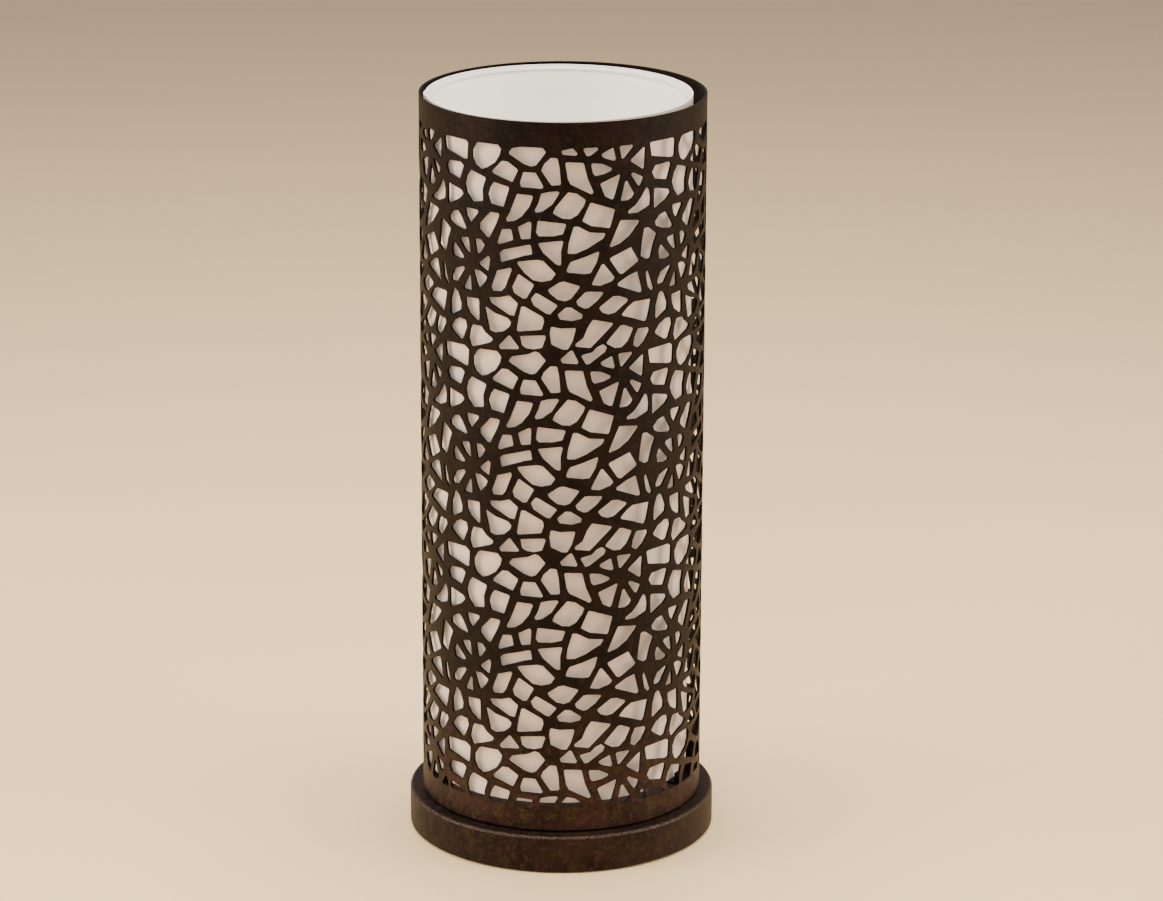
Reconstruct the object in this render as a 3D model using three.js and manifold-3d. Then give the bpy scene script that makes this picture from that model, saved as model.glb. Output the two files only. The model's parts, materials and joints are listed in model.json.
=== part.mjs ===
// Table lamp: a cut-out metal cylinder shade over a fabric liner, on a weighted round base.
// Millimetres, +Z up, origin at the centre of the underside. The front faces -Y.
import * as THREE from 'three';
import { mergeVertices } from 'three/addons/utils/BufferGeometryUtils.js';
import Module from 'manifold-3d';

const wasm = await Module();
wasm.setup();

// ---- Driving dimensions ----
const LAMP_HEIGHT = 406.3;
const FACETS = 32; // round pieces share one facet count, so their flats line up
const GAP = 0.3; // clearance between pieces that touch
const SEAT = 0.1; // clearance between pieces stacked along the axis

const FELT_THICKNESS = 1.5;
const COVER_THICKNESS = 1.5;
const BASE_OVERHANG = 7.1; // how far the base stands out past the shade
const BASE_TOP = 20.6;
const BASE_RIM = 0.8; // height of the pan's lower rim above the table
const BASE_WALL = 1.8;
const BASE_EDGE_RADIUS = 2;
const WEIGHT_THICKNESS = 9;
const CORD_HOLE_RADIUS = 5;
const BUSH_WALL = 1.5; // between the cord's bore and the hole
const RECESS_MARGIN = 2; // room round the washer in the recess under the weight
const BUSH_FLANGE = 1.6; // how far the bush's flange stands out from its hole
const BUSH_FLANGE_THICKNESS = 1.2;

const SHADE_RADIUS = 75.5;
const SHADE_WALL = 1.2;
const SHADE_LIFT = 1.3; // gap between the base and the shade's lower edge
const TOP_BAND = 13;
const BOTTOM_BAND = 13.1;
const ROW_HEIGHT = 109.85; // the pattern repeats down the shade at this step
const REPEATS_AROUND = 4;

const COLLAR_WALL = 1.2;
const COLLAR_HEIGHT = 13.3;
const COLLAR_FLANGE = 8;
const COLLAR_SCREWS = 3;
const COLLAR_SCREW_RADIUS = 2;
const SHADE_SCREW_ANGLES = [110, 180, 250]; // degrees round from the front
const SHADE_SCREW_RADIUS = 1.5;
const SHADE_SCREW_LENGTH = 9;

const TUBE_RADIUS = 5;
const TUBE_BORE = 3.5;
const NUT_ACROSS_FLATS = 17;
const NUT_THICKNESS = 4.5;
const WASHER_RADIUS = 11;
const WASHER_THICKNESS = 1.2;

const HOLDER_BOTTOM = 44;
const HOLDER_WALL = 4.8;
const CAP_HEIGHT = 20;
const CONTACT_LIFT = 9; // height of the centre contact's tip above the lampholder's body
const SCREW_SHELL_WALL = 0.6;
const THREAD_CLEARANCE = 1;
const HOLDER_FLANGE = 4; // how far the gallery's seat stands out from the thread
const RING_HEIGHT = 8;
const RING_WIDTH = 6.9;

const LINER_CLEARANCE = 4.3; // gap all round between the shade and the liner
const LINER_WALL = 0.8;
const LINER_TOP_DROP = 0.3; // how far the liner's top edge sits below the shade's
const LINER_SHIFT = [-2, -0.8]; // the liner hangs a little off centre on its gallery
const WIRE_RADIUS = 1.3;
const ARM_ANGLES = [90, 210, 330];
const ARM_WIDTH = 8;
const ARM_THICKNESS = 1.5;

const BULB_RADIUS = 30;
const BULB_LENGTH = 108;
const BULB_CAP_RADIUS = 13.1;
const BULB_CAP_HEIGHT = 24;
const GLASS_WALL = 1.2;

// The larger openings of one pattern repeat, as corner points: distance round the shade from
// the repeat's left edge, and distance down from its upper edge.
const TILE_WIDTH = 118.6;
const OPENINGS = [
  [[-5, 1], [13, 0.5], [12.5, 11], [-3.8, 8.2]],
  [[19, 1], [32.5, 1], [31, 9], [21.2, 14.5], [16, 9]],
  [[15, 16.2], [24.5, 19], [22.8, 31.4], [16, 32.6], [10.8, 24]],
  [[29.2, 20.8], [38, 22.6], [34.6, 33.2], [26, 31]],
  [[37.2, 5], [53, -1], [57.3, 3.2], [50.5, 11]],
  [[69, 24.1], [77.8, 28.3], [71.5, 38], [61, 35.2]],
  [[67.3, 8.4], [76.6, 8.9], [82, 25.3], [69, 19]],
  [[80.3, 29.7], [93.6, 34.2], [90.8, 43.6], [76.1, 39.6]],
  [[71.8, 42], [88.6, 46.6], [75, 56], [68.6, 56.3]],
  [[110.4, 45.8], [118.6, 49.9], [113.8, 62.3], [108.3, 60]],
  [[42.2, 61.5], [55, 60], [62.4, 66.8], [57, 71.2], [49, 70]],
  [[70.3, 60.6], [85.6, 55.1], [80.6, 66.9], [68, 66.2]],
  [[90.5, 59.6], [102.6, 54.8], [107.6, 62.7], [97, 68.4]],
  [[23.3, 86.5], [38.8, 93.2], [34, 99.6], [26, 99]],
  [[44.5, 85], [56.3, 91], [55, 96.7], [41.8, 98.5]],
  [[60.2, 95], [73.1, 95.7], [68, 107], [60.5, 104.6]],
  [[81.8, 91.6], [93.6, 94.3], [80.7, 106.4], [73, 105.4]],
  [[97, 90.3], [104.5, 84], [115.3, 83.9], [112.4, 95.5]],
];

// ---- Levels worked out from the sizes above ----
const baseRadius = SHADE_RADIUS + BASE_OVERHANG;
const feltTop = FELT_THICKNESS;
const coverBottom = feltTop + SEAT;
const panInside = baseRadius - BASE_WALL;
const panCeiling = BASE_TOP - BASE_WALL;
const weightTop = panCeiling - SEAT;
const weightBottom = weightTop - WEIGHT_THICKNESS;
const coverTop = coverBottom + COVER_THICKNESS;
const cordRoom = (panCeiling - coverTop) / 2 - GAP; // half the height left for the bush's flange
const cordHoleRadius = Math.min(CORD_HOLE_RADIUS, cordRoom - BUSH_FLANGE + GAP);
const bushRadius = cordHoleRadius - GAP;
const cordHeight = coverTop + bushRadius + BUSH_FLANGE + GAP;
const bushInner = panInside * Math.cos(Math.PI / FACETS) - GAP - 1;
const weightRadius = bushInner - BUSH_FLANGE_THICKNESS - 1;
const shadeBottom = BASE_TOP + SHADE_LIFT;
const shadeInside = SHADE_RADIUS - SHADE_WALL;
const collarRadius = shadeInside - GAP;
const collarBottom = BASE_TOP + SEAT;
const collarScrewPitch = collarRadius - COLLAR_WALL - COLLAR_FLANGE / 2;
const shadeScrewHeight = shadeBottom + BOTTOM_BAND / 2;
const upperWasherBottom = BASE_TOP + SEAT;
const upperNutBottom = upperWasherBottom + WASHER_THICKNESS + SEAT;
const recessRadius = WASHER_RADIUS + RECESS_MARGIN;
const recessDepth = WASHER_THICKNESS + NUT_THICKNESS + 3 * SEAT;
const lowerWasherTop = weightBottom + recessDepth - SEAT;
const lowerNutTop = lowerWasherTop - WASHER_THICKNESS - SEAT;
const socketBottom = HOLDER_BOTTOM + CAP_HEIGHT + SEAT;
const bulbBottom = socketBottom + CONTACT_LIFT;
const socketTop = bulbBottom + BULB_CAP_HEIGHT - 1;
const screwShellInside = BULB_CAP_RADIUS + THREAD_CLEARANCE;
const screwShellOutside = screwShellInside + SCREW_SHELL_WALL;
const holderBore = screwShellOutside + GAP;
const holderRadius = holderBore + HOLDER_WALL;
const ringRadius = holderRadius + GAP + RING_WIDTH;
const flangeTop = socketBottom + 5;
const galleryBottom = flangeTop + SEAT;
const ringBottom = galleryBottom + ARM_THICKNESS + SEAT;
const collarTop = collarBottom + COLLAR_HEIGHT;
const linerBottom = collarTop + ARM_THICKNESS + GAP; // the arms lie on the collar's top edge
const linerTop = LAMP_HEIGHT - LINER_TOP_DROP;
const linerRadius = shadeInside - LINER_CLEARANCE;
const linerInside = linerRadius - LINER_WALL;

// ---- Finishes ----
const finish = (color, roughness, metalness) => () =>
  new THREE.MeshStandardMaterial({ color, roughness, metalness });
const bronze = finish(0x3d2c22, 0.5, 0.8);
const steel = finish(0x9a9a98, 0.4, 0.9);
const iron = finish(0x35332f, 0.8, 0.6);
const brass = finish(0xb08d4a, 0.35, 0.9);
const felt = finish(0x24332a, 0.95, 0);
const fibreboard = finish(0x6b4f35, 0.9, 0);
const blackPlastic = finish(0x1a1a1a, 0.5, 0);
const whitePlastic = finish(0xe8e6e0, 0.45, 0);
const ceramic = finish(0xe9e4d8, 0.3, 0);
const linen = finish(0xe3d9cc, 0.9, 0);
const opalGlass = finish(0xf5f2ea, 0.15, 0);

// ---- Shared shapes ----
const group = new THREE.Group();

function piece(name, geometry, material, parent = group) {
  const mesh = new THREE.Mesh(geometry, material());
  mesh.name = name;
  parent.add(mesh);
  return mesh;
}

// A round piece: its profile is a closed outline of [radius, height] points, counter-clockwise
// with the axis on the left.
function turned(profile, facets = FACETS) {
  const points = [...profile, profile[0]].map(([r, z]) => new THREE.Vector2(r, z));
  return new THREE.LatheGeometry(points, facets).rotateX(Math.PI / 2);
}

// A plain sleeve between two radii and two heights.
function sleeve(inner, outer, bottom, top) {
  return turned([[inner, bottom], [outer, bottom], [outer, top], [inner, top]]);
}

function disc(radius, bottom, top) {
  const points = [[0, bottom], [radius, bottom], [radius, top], [0, top]];
  const profile = points.map(([r, z]) => new THREE.Vector2(r, z));
  return new THREE.LatheGeometry(profile, FACETS).rotateX(Math.PI / 2);
}

// A pin along +Z, for drilling holes and for screws.
function pin(radius, bottom, top, facets = 12) {
  return new THREE.CylinderGeometry(radius, radius, top - bottom, facets)
    .rotateX(Math.PI / 2)
    .translate(0, 0, (bottom + top) / 2);
}

// An outline extruded along +Z.
function slab(shape, bottom, top) {
  const settings = { depth: top - bottom, bevelEnabled: false, curveSegments: 8 };
  return new THREE.ExtrudeGeometry(shape, settings).translate(0, 0, bottom);
}

function hexNut(bore, acrossFlats, bottom, top) {
  const corner = acrossFlats / Math.sqrt(3);
  const shape = new THREE.Shape();
  for (let i = 0; i < 6; i += 1) {
    const angle = (i * Math.PI) / 3;
    const step = i === 0 ? 'moveTo' : 'lineTo';
    shape[step](corner * Math.cos(angle), corner * Math.sin(angle));
  }
  shape.closePath();
  shape.holes.push(new THREE.Path().absarc(0, 0, bore, 0, 2 * Math.PI, true));
  return slab(shape, bottom, top);
}

function solidOf(geometry) {
  const bare = geometry.clone();
  bare.deleteAttribute('normal');
  bare.deleteAttribute('uv');
  const merged = mergeVertices(bare, 1e-4);
  return new wasm.Manifold(new wasm.Mesh({
    numProp: 3,
    vertProperties: merged.attributes.position.array,
    triVerts: Uint32Array.from(merged.index.array),
  }));
}

function geometryOf(solid) {
  const mesh = solid.getMesh();
  const geometry = new THREE.BufferGeometry();
  geometry.setAttribute('position', new THREE.BufferAttribute(mesh.vertProperties, 3));
  geometry.setIndex(new THREE.BufferAttribute(mesh.triVerts, 1));
  geometry.computeVertexNormals();
  return geometry;
}

function cut(geometry, cutters) {
  let tools = solidOf(cutters[0]);
  for (const cutter of cutters.slice(1)) tools = tools.add(solidOf(cutter));
  return geometryOf(solidOf(geometry).subtract(tools));
}

function joined(geometries) {
  return geometryOf(geometries.map(solidOf).reduce((all, next) => all.add(next)));
}

// Turns a geometry that was made along +Z so that it points outwards at an angle from the
// front, at a given height.
function radial(geometry, degrees, height) {
  return geometry
    .rotateX(Math.PI / 2)
    .rotateZ(THREE.MathUtils.degToRad(degrees))
    .translate(0, 0, height);
}

// ---- Base ----
function makeBase() {
  const coverRadius = panInside - GAP;
  piece('felt_pad', disc(coverRadius - 3, 0, feltTop), felt);
  piece('bottom_cover', disc(coverRadius, coverBottom, coverBottom + COVER_THICKNESS), fibreboard);

  const tubeHole = TUBE_RADIUS + GAP;
  const edge = (radius, corner, height, steps) => Array.from({ length: steps + 1 }, (_, i) => {
    const angle = (i * Math.PI) / (2 * steps);
    return [corner + radius * Math.cos(angle), height + radius * Math.sin(angle)];
  });
  const outerEdge = edge(BASE_EDGE_RADIUS, baseRadius - BASE_EDGE_RADIUS, BASE_TOP - BASE_EDGE_RADIUS, 4);
  const shell = turned([
    [panInside, BASE_RIM], [baseRadius - 0.6, BASE_RIM], [baseRadius, BASE_RIM + 0.6],
    ...outerEdge, [tubeHole, BASE_TOP], [tubeHole, panCeiling], [panInside, panCeiling],
  ]);
  const cordHole = radial(pin(cordHoleRadius, panInside - 4, baseRadius + 4, 16), 180, cordHeight);
  piece('base_shell', cut(shell, [cordHole, ...collarHoles(panCeiling - 1, BASE_TOP + 1, GAP)]), bronze);

  const weight = sleeve(tubeHole, weightRadius, weightBottom, weightTop);
  const cordGroove = radial(pin(bushRadius, 0, weightRadius + 3, 16), 180, cordHeight)
    .translate(0, 0, Math.min(0, weightBottom - cordHeight));
  const recess = pin(recessRadius, weightBottom - 1, weightBottom + recessDepth, FACETS);
  const weightHoles = collarHoles(weightBottom + 2, weightTop + 1, GAP);
  piece('base_weight', cut(weight, [cordGroove, recess, ...weightHoles]), iron);

  const bush = joined([
    pin(bushRadius, bushInner - BUSH_FLANGE_THICKNESS / 2, baseRadius - 0.8, 16),
    pin(bushRadius + BUSH_FLANGE, bushInner - BUSH_FLANGE_THICKNESS, bushInner, 16),
  ]);
  const bored = cut(bush, [pin(bushRadius - BUSH_WALL, bushInner - 3, baseRadius + 3, 16)]);
  piece('cord_bush', radial(bored, 180, cordHeight), blackPlastic);
}

// ---- Collar that locates the shade ----
function collarHoles(bottom, top, clearance) {
  return Array.from({ length: COLLAR_SCREWS }, (_, i) => {
    const angle = (i * 2 * Math.PI) / COLLAR_SCREWS + Math.PI / 6;
    return pin(COLLAR_SCREW_RADIUS + clearance, bottom, top)
      .translate(collarScrewPitch * Math.cos(angle), collarScrewPitch * Math.sin(angle), 0);
  });
}

function makeCollar() {
  const inside = collarRadius - COLLAR_WALL;
  const flangeTopZ = collarBottom + COLLAR_WALL;
  const ring = turned([
    [inside - COLLAR_FLANGE, collarBottom], [collarRadius, collarBottom],
    [collarRadius, collarTop], [inside, collarTop],
    [inside, flangeTopZ], [inside - COLLAR_FLANGE, flangeTopZ],
  ]);
  const screwHoles = SHADE_SCREW_ANGLES.map((degrees) => radial(
    pin(SHADE_SCREW_RADIUS + GAP, inside - 4, SHADE_RADIUS + 4), degrees, shadeScrewHeight));
  const holes = [...collarHoles(collarBottom - 1, flangeTopZ + 1, GAP), ...screwHoles];
  piece('shade_collar', cut(ring, holes), bronze);

  const shanks = collarHoles(weightBottom + 3, flangeTopZ + SEAT + 0.5, 0);
  const headBottom = flangeTopZ + SEAT;
  const heads = collarHoles(headBottom, headBottom + 1.6, 1.5);
  shanks.forEach((shank, i) => piece(`collar_screw_${i + 1}`, joined([shank, heads[i]]), steel));
}

// ---- Cut-out shade ----
// Keeps the part of an outline on one side of a level.
function clipped(outline, level, keepBelow) {
  const inside = ([, z]) => (keepBelow ? z <= level : z >= level);
  const kept = [];
  outline.forEach((point, i) => {
    const next = outline[(i + 1) % outline.length];
    if (inside(point)) kept.push(point);
    if (inside(point) !== inside(next)) {
      const share = (level - point[1]) / (next[1] - point[1]);
      kept.push([point[0] + share * (next[0] - point[0]), level]);
    }
  });
  return kept;
}

function openingCutter(outline) {
  const middle = outline.reduce((sum, [u]) => sum + u, 0) / outline.length;
  const shape = new THREE.Shape(outline.map(([u, z]) => {
    const angle = (u - middle) / SHADE_RADIUS;
    return new THREE.Vector2(SHADE_RADIUS * Math.sin(angle), z);
  }));
  const depth = SHADE_WALL + 6;
  return new THREE.ExtrudeGeometry(shape, { depth, bevelEnabled: false })
    .translate(0, 0, SHADE_RADIUS - depth + 2)
    .rotateX(Math.PI / 2)
    .rotateZ(middle / SHADE_RADIUS);
}

function makeShade() {
  const wall = sleeve(shadeInside, SHADE_RADIUS, shadeBottom, LAMP_HEIGHT);
  const top = LAMP_HEIGHT - TOP_BAND;
  const bottom = shadeBottom + BOTTOM_BAND;
  const repeatWidth = (2 * Math.PI * SHADE_RADIUS) / REPEATS_AROUND;
  const stretch = repeatWidth / TILE_WIDTH;
  const smallest = 4; // an opening clipped by a band to less than this height is left out
  const cutters = SHADE_SCREW_ANGLES.map((degrees) => radial(
    pin(SHADE_SCREW_RADIUS + GAP, shadeInside - 3, SHADE_RADIUS + 3), degrees, shadeScrewHeight));
  for (let row = 0; top + 1 - row * ROW_HEIGHT > bottom; row += 1) {
    for (let repeat = 0; repeat < REPEATS_AROUND; repeat += 1) {
      for (const opening of OPENINGS) {
        const placed = opening.map(([u, v]) => [
          u * stretch - 66 * stretch + repeat * repeatWidth, top + 1 - v - row * ROW_HEIGHT]);
        const outline = clipped(clipped(placed, top, true), bottom, false);
        const heights = outline.map(([, z]) => z);
        if (Math.max(...heights) - Math.min(...heights) > smallest) cutters.push(openingCutter(outline));
      }
    }
  }
  piece('outer_shade', cut(wall, cutters), bronze);
}

// ---- Screws that hold the shade to its collar ----
function makeShadeScrews() {
  const collarInside = (collarRadius - COLLAR_WALL) * Math.cos(Math.PI / FACETS);
  const outside = SHADE_RADIUS + GAP;
  SHADE_SCREW_ANGLES.forEach((degrees, i) => {
    const shank = pin(SHADE_SCREW_RADIUS, outside - SHADE_SCREW_LENGTH, outside + 0.5);
    const head = pin(SHADE_SCREW_RADIUS * 2, outside, outside + 1.4);
    piece(`shade_screw_${i + 1}`, radial(joined([shank, head]), degrees, shadeScrewHeight), bronze);
    const nutTop = collarInside - GAP;
    const nut = hexNut(SHADE_SCREW_RADIUS + GAP, 5.5, nutTop - 2.4, nutTop);
    piece(`shade_nut_${i + 1}`, radial(nut, degrees, shadeScrewHeight), steel);
  });
}

// ---- Threaded tube with its nuts and washers ----
function makeTube() {
  piece('threaded_tube', sleeve(TUBE_BORE, TUBE_RADIUS, weightBottom, HOLDER_BOTTOM + 8), steel);
  const bore = TUBE_RADIUS + GAP;
  const washerAt = (bottom) => sleeve(bore, WASHER_RADIUS, bottom, bottom + WASHER_THICKNESS);
  piece('upper_washer', washerAt(upperWasherBottom), steel);
  piece('lower_washer', washerAt(lowerWasherTop - WASHER_THICKNESS), steel);
  const nutAt = (bottom) => hexNut(bore, NUT_ACROSS_FLATS, bottom, bottom + NUT_THICKNESS);
  piece('upper_nut', nutAt(upperNutBottom), steel);
  piece('lower_nut', nutAt(lowerNutTop - NUT_THICKNESS), steel);
}

// ---- Lampholder ----
function makeLampholder() {
  const bore = TUBE_RADIUS + GAP;
  const capTop = HOLDER_BOTTOM + CAP_HEIGHT;
  piece('lampholder_cap', turned([
    [bore, HOLDER_BOTTOM], [9, HOLDER_BOTTOM], [holderRadius - 3, HOLDER_BOTTOM + 8],
    [holderRadius, HOLDER_BOTTOM + 12], [holderRadius, capTop], [holderRadius - 2, capTop],
    [holderRadius - 2, HOLDER_BOTTOM + 13], [holderRadius - 5, HOLDER_BOTTOM + 10],
    [bore, HOLDER_BOTTOM + 6],
  ]), blackPlastic);
  piece('lampholder_body', turned([
    [holderBore, socketBottom], [holderRadius + HOLDER_FLANGE, socketBottom + 2],
    [holderRadius + HOLDER_FLANGE, flangeTop], [holderRadius, flangeTop],
    [holderRadius, socketTop], [holderBore, socketTop],
  ]), blackPlastic);
  const insulatorRadius = holderBore - GAP;
  piece('lampholder_insulator', disc(insulatorRadius, socketBottom - 2, socketBottom + 4), ceramic);
  piece('centre_contact', pin(3, socketBottom + 4 + SEAT, bulbBottom - SEAT, 16), brass);
  piece('screw_shell', sleeve(screwShellInside, screwShellOutside,
    socketBottom + 4 + SEAT, socketTop - 6), brass);
}

// ---- Gallery that carries the liner, and the ring that clamps it ----
function makeGallery() {
  const seat = holderRadius + GAP;
  const hub = sleeve(seat, ringRadius - 1, galleryBottom, galleryBottom + ARM_THICKNESS);
  const armEnd = collarTop + ARM_THICKNESS / 2;
  const tipRoom = [linerRadius + Math.hypot(...LINER_SHIFT), shadeInside * Math.cos(Math.PI / FACETS)];
  const tip = (tipRoom[0] + tipRoom[1]) / 2;
  const hubLevel = galleryBottom + ARM_THICKNESS / 2;
  const route = [
    [seat + 3, hubLevel], [seat + 10, hubLevel], [seat + 16, hubLevel - 5],
    [linerRadius - 14, armEnd + 5], [linerRadius - 7, armEnd], [tip, armEnd],
  ];
  const side = ([r, z], i, list) => {
    const [r0, z0] = list[Math.max(i - 1, 0)];
    const [r1, z1] = list[Math.min(i + 1, list.length - 1)];
    const length = Math.hypot(r1 - r0, z1 - z0);
    const offset = ARM_THICKNESS / 2;
    return [(-(z1 - z0) / length) * offset, ((r1 - r0) / length) * offset];
  };
  const upper = route.map((point, i) => {
    const [dr, dz] = side(point, i, route);
    return [point[0] + dr, point[1] + dz];
  });
  const lower = route.map((point, i) => {
    const [dr, dz] = side(point, i, route);
    return [point[0] - dr, point[1] - dz];
  });
  const tipHalf = 0.5;
  const tipTop = linerBottom + 5;
  const outline = [
    ...lower.slice(0, -1), [tip + tipHalf, lower.at(-1)[1]], [tip + tipHalf, tipTop],
    [tip - tipHalf, tipTop], [tip - tipHalf, upper.at(-1)[1]], ...upper.slice(0, -1).reverse(),
  ];
  const arms = ARM_ANGLES.map((degrees) => {
    const shape = new THREE.Shape(outline.map(([r, z]) => new THREE.Vector2(r, z)));
    return slab(shape, -ARM_WIDTH / 2, ARM_WIDTH / 2)
      .rotateX(Math.PI / 2)
      .rotateZ(THREE.MathUtils.degToRad(degrees));
  });
  piece('gallery', joined([hub, ...arms]), bronze);
  piece('clamp_ring', sleeve(seat, ringRadius, ringBottom, ringBottom + RING_HEIGHT), blackPlastic);
}

// ---- Liner ----
function makeLiner() {
  const liner = new THREE.Group();
  liner.position.set(...LINER_SHIFT, 0);
  group.add(liner);
  piece('liner', sleeve(linerInside, linerRadius, linerBottom, linerTop), linen, liner);
  const wirePath = (linerInside - GAP) * Math.cos(Math.PI / FACETS) - WIRE_RADIUS;
  for (const [name, height] of [['lower', linerBottom + 2], ['upper', linerTop - 2]]) {
    const wire = new THREE.TorusGeometry(wirePath, WIRE_RADIUS, 8, FACETS).translate(0, 0, height);
    piece(`liner_${name}_wire`, wire, whitePlastic, liner);
  }
}

// ---- Bulb ----
function makeBulb() {
  const top = bulbBottom + BULB_LENGTH;
  const centre = top - BULB_RADIUS;
  const capTop = bulbBottom + BULB_CAP_HEIGHT;
  const neck = BULB_CAP_RADIUS + 2;
  const housingTop = centre - BULB_RADIUS * 0.6;
  const rimAngle = Math.asin(0.6);
  const arc = (radius, from, to, steps) => Array.from({ length: steps + 1 }, (_, i) => {
    const angle = from + ((to - from) * i) / steps;
    return [radius * Math.cos(angle), centre + radius * Math.sin(angle)];
  });
  const crown = Math.PI / 2;
  const glass = [
    ...arc(BULB_RADIUS, -rimAngle + 0.02, crown, 8).slice(0, -1), [0, top],
    [0, top - GLASS_WALL], ...arc(BULB_RADIUS - GLASS_WALL, crown, -rimAngle + 0.02, 8).slice(1),
  ];
  const glassProfile = [...glass, glass[0]].map(([r, z]) => new THREE.Vector2(r, z));
  const openAtAxis = glassProfile.slice(0, -1);
  const start = openAtAxis.findIndex((point, i) => i > 0 && point.x === 0 && openAtAxis[i - 1].x === 0);
  const ordered = [...openAtAxis.slice(start), ...openAtAxis.slice(0, start)];
  piece('bulb_glass', new THREE.LatheGeometry(ordered, 24).rotateX(Math.PI / 2), opalGlass);
  const housingRim = BULB_RADIUS * Math.cos(rimAngle);
  piece('bulb_housing', turned([
    [neck - 4, capTop + SEAT], [neck, capTop + SEAT], [neck + 1, capTop + 8],
    [housingRim, housingTop], [housingRim - 2, housingTop], [neck - 2, capTop + 8],
  ], 24), whitePlastic);
  piece('bulb_cap', turned([
    [BULB_CAP_RADIUS - 4, bulbBottom + 3], [BULB_CAP_RADIUS - 1, bulbBottom + 3],
    [BULB_CAP_RADIUS, bulbBottom + 5], [BULB_CAP_RADIUS, capTop],
    [BULB_CAP_RADIUS - 1, capTop], [BULB_CAP_RADIUS - 1, bulbBottom + 5.5],
    [BULB_CAP_RADIUS - 4, bulbBottom + 4],
  ], 24), steel);
  const insulator = turned([
    [4, bulbBottom + 1], [7, bulbBottom + 1],
    [BULB_CAP_RADIUS - 4.3, bulbBottom + 2.7], [4, bulbBottom + 2.7],
  ], 24);
  piece('bulb_insulator', insulator, blackPlastic);
  piece('bulb_contact', pin(4 - GAP, bulbBottom, bulbBottom + 2.7, 16), brass);
}

makeBase();
makeCollar();
makeShade();
makeShadeScrews();
makeTube();
makeLampholder();
makeGallery();
makeLiner();
makeBulb();

export default group;
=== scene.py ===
"""A table lamp: a cut-out metal shade over a fabric liner, on a round weighted base.

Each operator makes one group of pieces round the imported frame. Run as a script it makes the
whole lamp, a plain stage and the camera. Metres throughout, +Z up, the lamp's front facing -Y.
"""
import json
import math

import bmesh
import bpy
from mathutils import Matrix, Vector

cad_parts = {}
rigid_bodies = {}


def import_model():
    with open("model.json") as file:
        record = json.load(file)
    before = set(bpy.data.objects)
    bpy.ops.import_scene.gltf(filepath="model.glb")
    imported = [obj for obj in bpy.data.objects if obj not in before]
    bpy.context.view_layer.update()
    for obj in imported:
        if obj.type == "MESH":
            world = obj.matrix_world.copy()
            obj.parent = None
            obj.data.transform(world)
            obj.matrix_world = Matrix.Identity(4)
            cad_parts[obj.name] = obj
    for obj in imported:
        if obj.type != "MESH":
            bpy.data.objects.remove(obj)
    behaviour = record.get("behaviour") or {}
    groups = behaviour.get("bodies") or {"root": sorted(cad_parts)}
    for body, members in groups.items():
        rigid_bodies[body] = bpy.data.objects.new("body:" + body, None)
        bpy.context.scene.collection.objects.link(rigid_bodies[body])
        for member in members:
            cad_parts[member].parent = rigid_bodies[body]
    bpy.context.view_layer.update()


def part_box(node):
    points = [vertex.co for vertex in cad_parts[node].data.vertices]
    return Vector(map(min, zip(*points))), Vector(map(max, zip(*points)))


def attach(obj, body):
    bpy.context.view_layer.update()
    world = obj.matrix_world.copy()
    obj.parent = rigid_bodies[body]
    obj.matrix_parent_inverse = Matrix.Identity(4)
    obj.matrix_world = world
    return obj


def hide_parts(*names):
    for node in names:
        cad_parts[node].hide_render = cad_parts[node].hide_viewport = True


bl_info = {
    "name": "Cut-out table lamp",
    "version": (1, 0, 0),
    "blender": (4, 5, 0),
    "location": "3D View > Sidebar > Lamp",
    "description": "Builds a table lamp with a cut-out metal shade",
    "category": "Object",
}

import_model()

MM = 0.001
TINY = 0.001 * MM               # places closer than this count as one
SLIVER = 0.35 * MM              # openings whose middle is nearer than this to a band are left out
EDGE_POINTS = 360               # points round each edge of the shade
SHARP_ANGLE = math.radians(32)  # edges that turn by more than this look sharp
ROOT, LINER, RING, BULB = "root", "liner_body", "ring_body", "bulb_body"


def node_box(name):
    """Lowest corner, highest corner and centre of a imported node."""
    low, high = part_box(name)
    return low, high, (low + high) / 2


SHADE_LOW, SHADE_HIGH, _ = node_box("outer_shade")
BASE_LOW, BASE_HIGH, _ = node_box("base_shell")
LINER_LOW, LINER_HIGH, LINER_MIDDLE = node_box("liner")
SHADE_RADIUS = (SHADE_HIGH.x - SHADE_LOW.x) / 2
BASE_RADIUS = (BASE_HIGH.x - BASE_LOW.x) / 2
LINER_RADIUS = (LINER_HIGH.x - LINER_LOW.x) / 2


# ---- Sizes and colours that a user may change ------------------------------------------

def length(name, description, default):
    return bpy.props.FloatProperty(
        name=name, description=description, default=default, min=0, unit="LENGTH", precision=4)


def colour(name, description, default):
    return bpy.props.FloatVectorProperty(
        name=name, description=description, default=default, size=3, min=0, max=1,
        subtype="COLOR")


def tilt(name, description, degrees):
    return bpy.props.FloatProperty(
        name=name, description=description, default=math.radians(degrees), subtype="ANGLE")


class LampShadeSizes(bpy.types.PropertyGroup):
    """Sizes of the cut-out shade."""
    wall: length("Wall", "Thickness of the shade's sheet", 1.2 * MM)
    top_band: length("Top band", "Height of the plain band at the top", 13 * MM)
    bottom_band: length("Bottom band", "Height of the plain band at the foot", 13.1 * MM)
    row_height: length("Row height", "Height of one repeat of the pattern", 109.85 * MM)
    lead: length("Lead", "How far the first row starts above the top band's edge", 1 * MM)
    around: bpy.props.IntProperty(
        name="Repeats", description="Repeats of the pattern round the shade", default=4, min=1)
    start: length("Start", "Distance from the pattern's left edge to the front", 66 * MM)
    corner: length("Corner radius", "Radius of the openings' corners", 1 * MM)
    ease: length("Ease", "How far the openings are cut outside their outlines", 0.18 * MM)
    screw_hole: length("Screw hole", "Radius of the holes for the shade's screws", 1.8 * MM)


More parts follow.
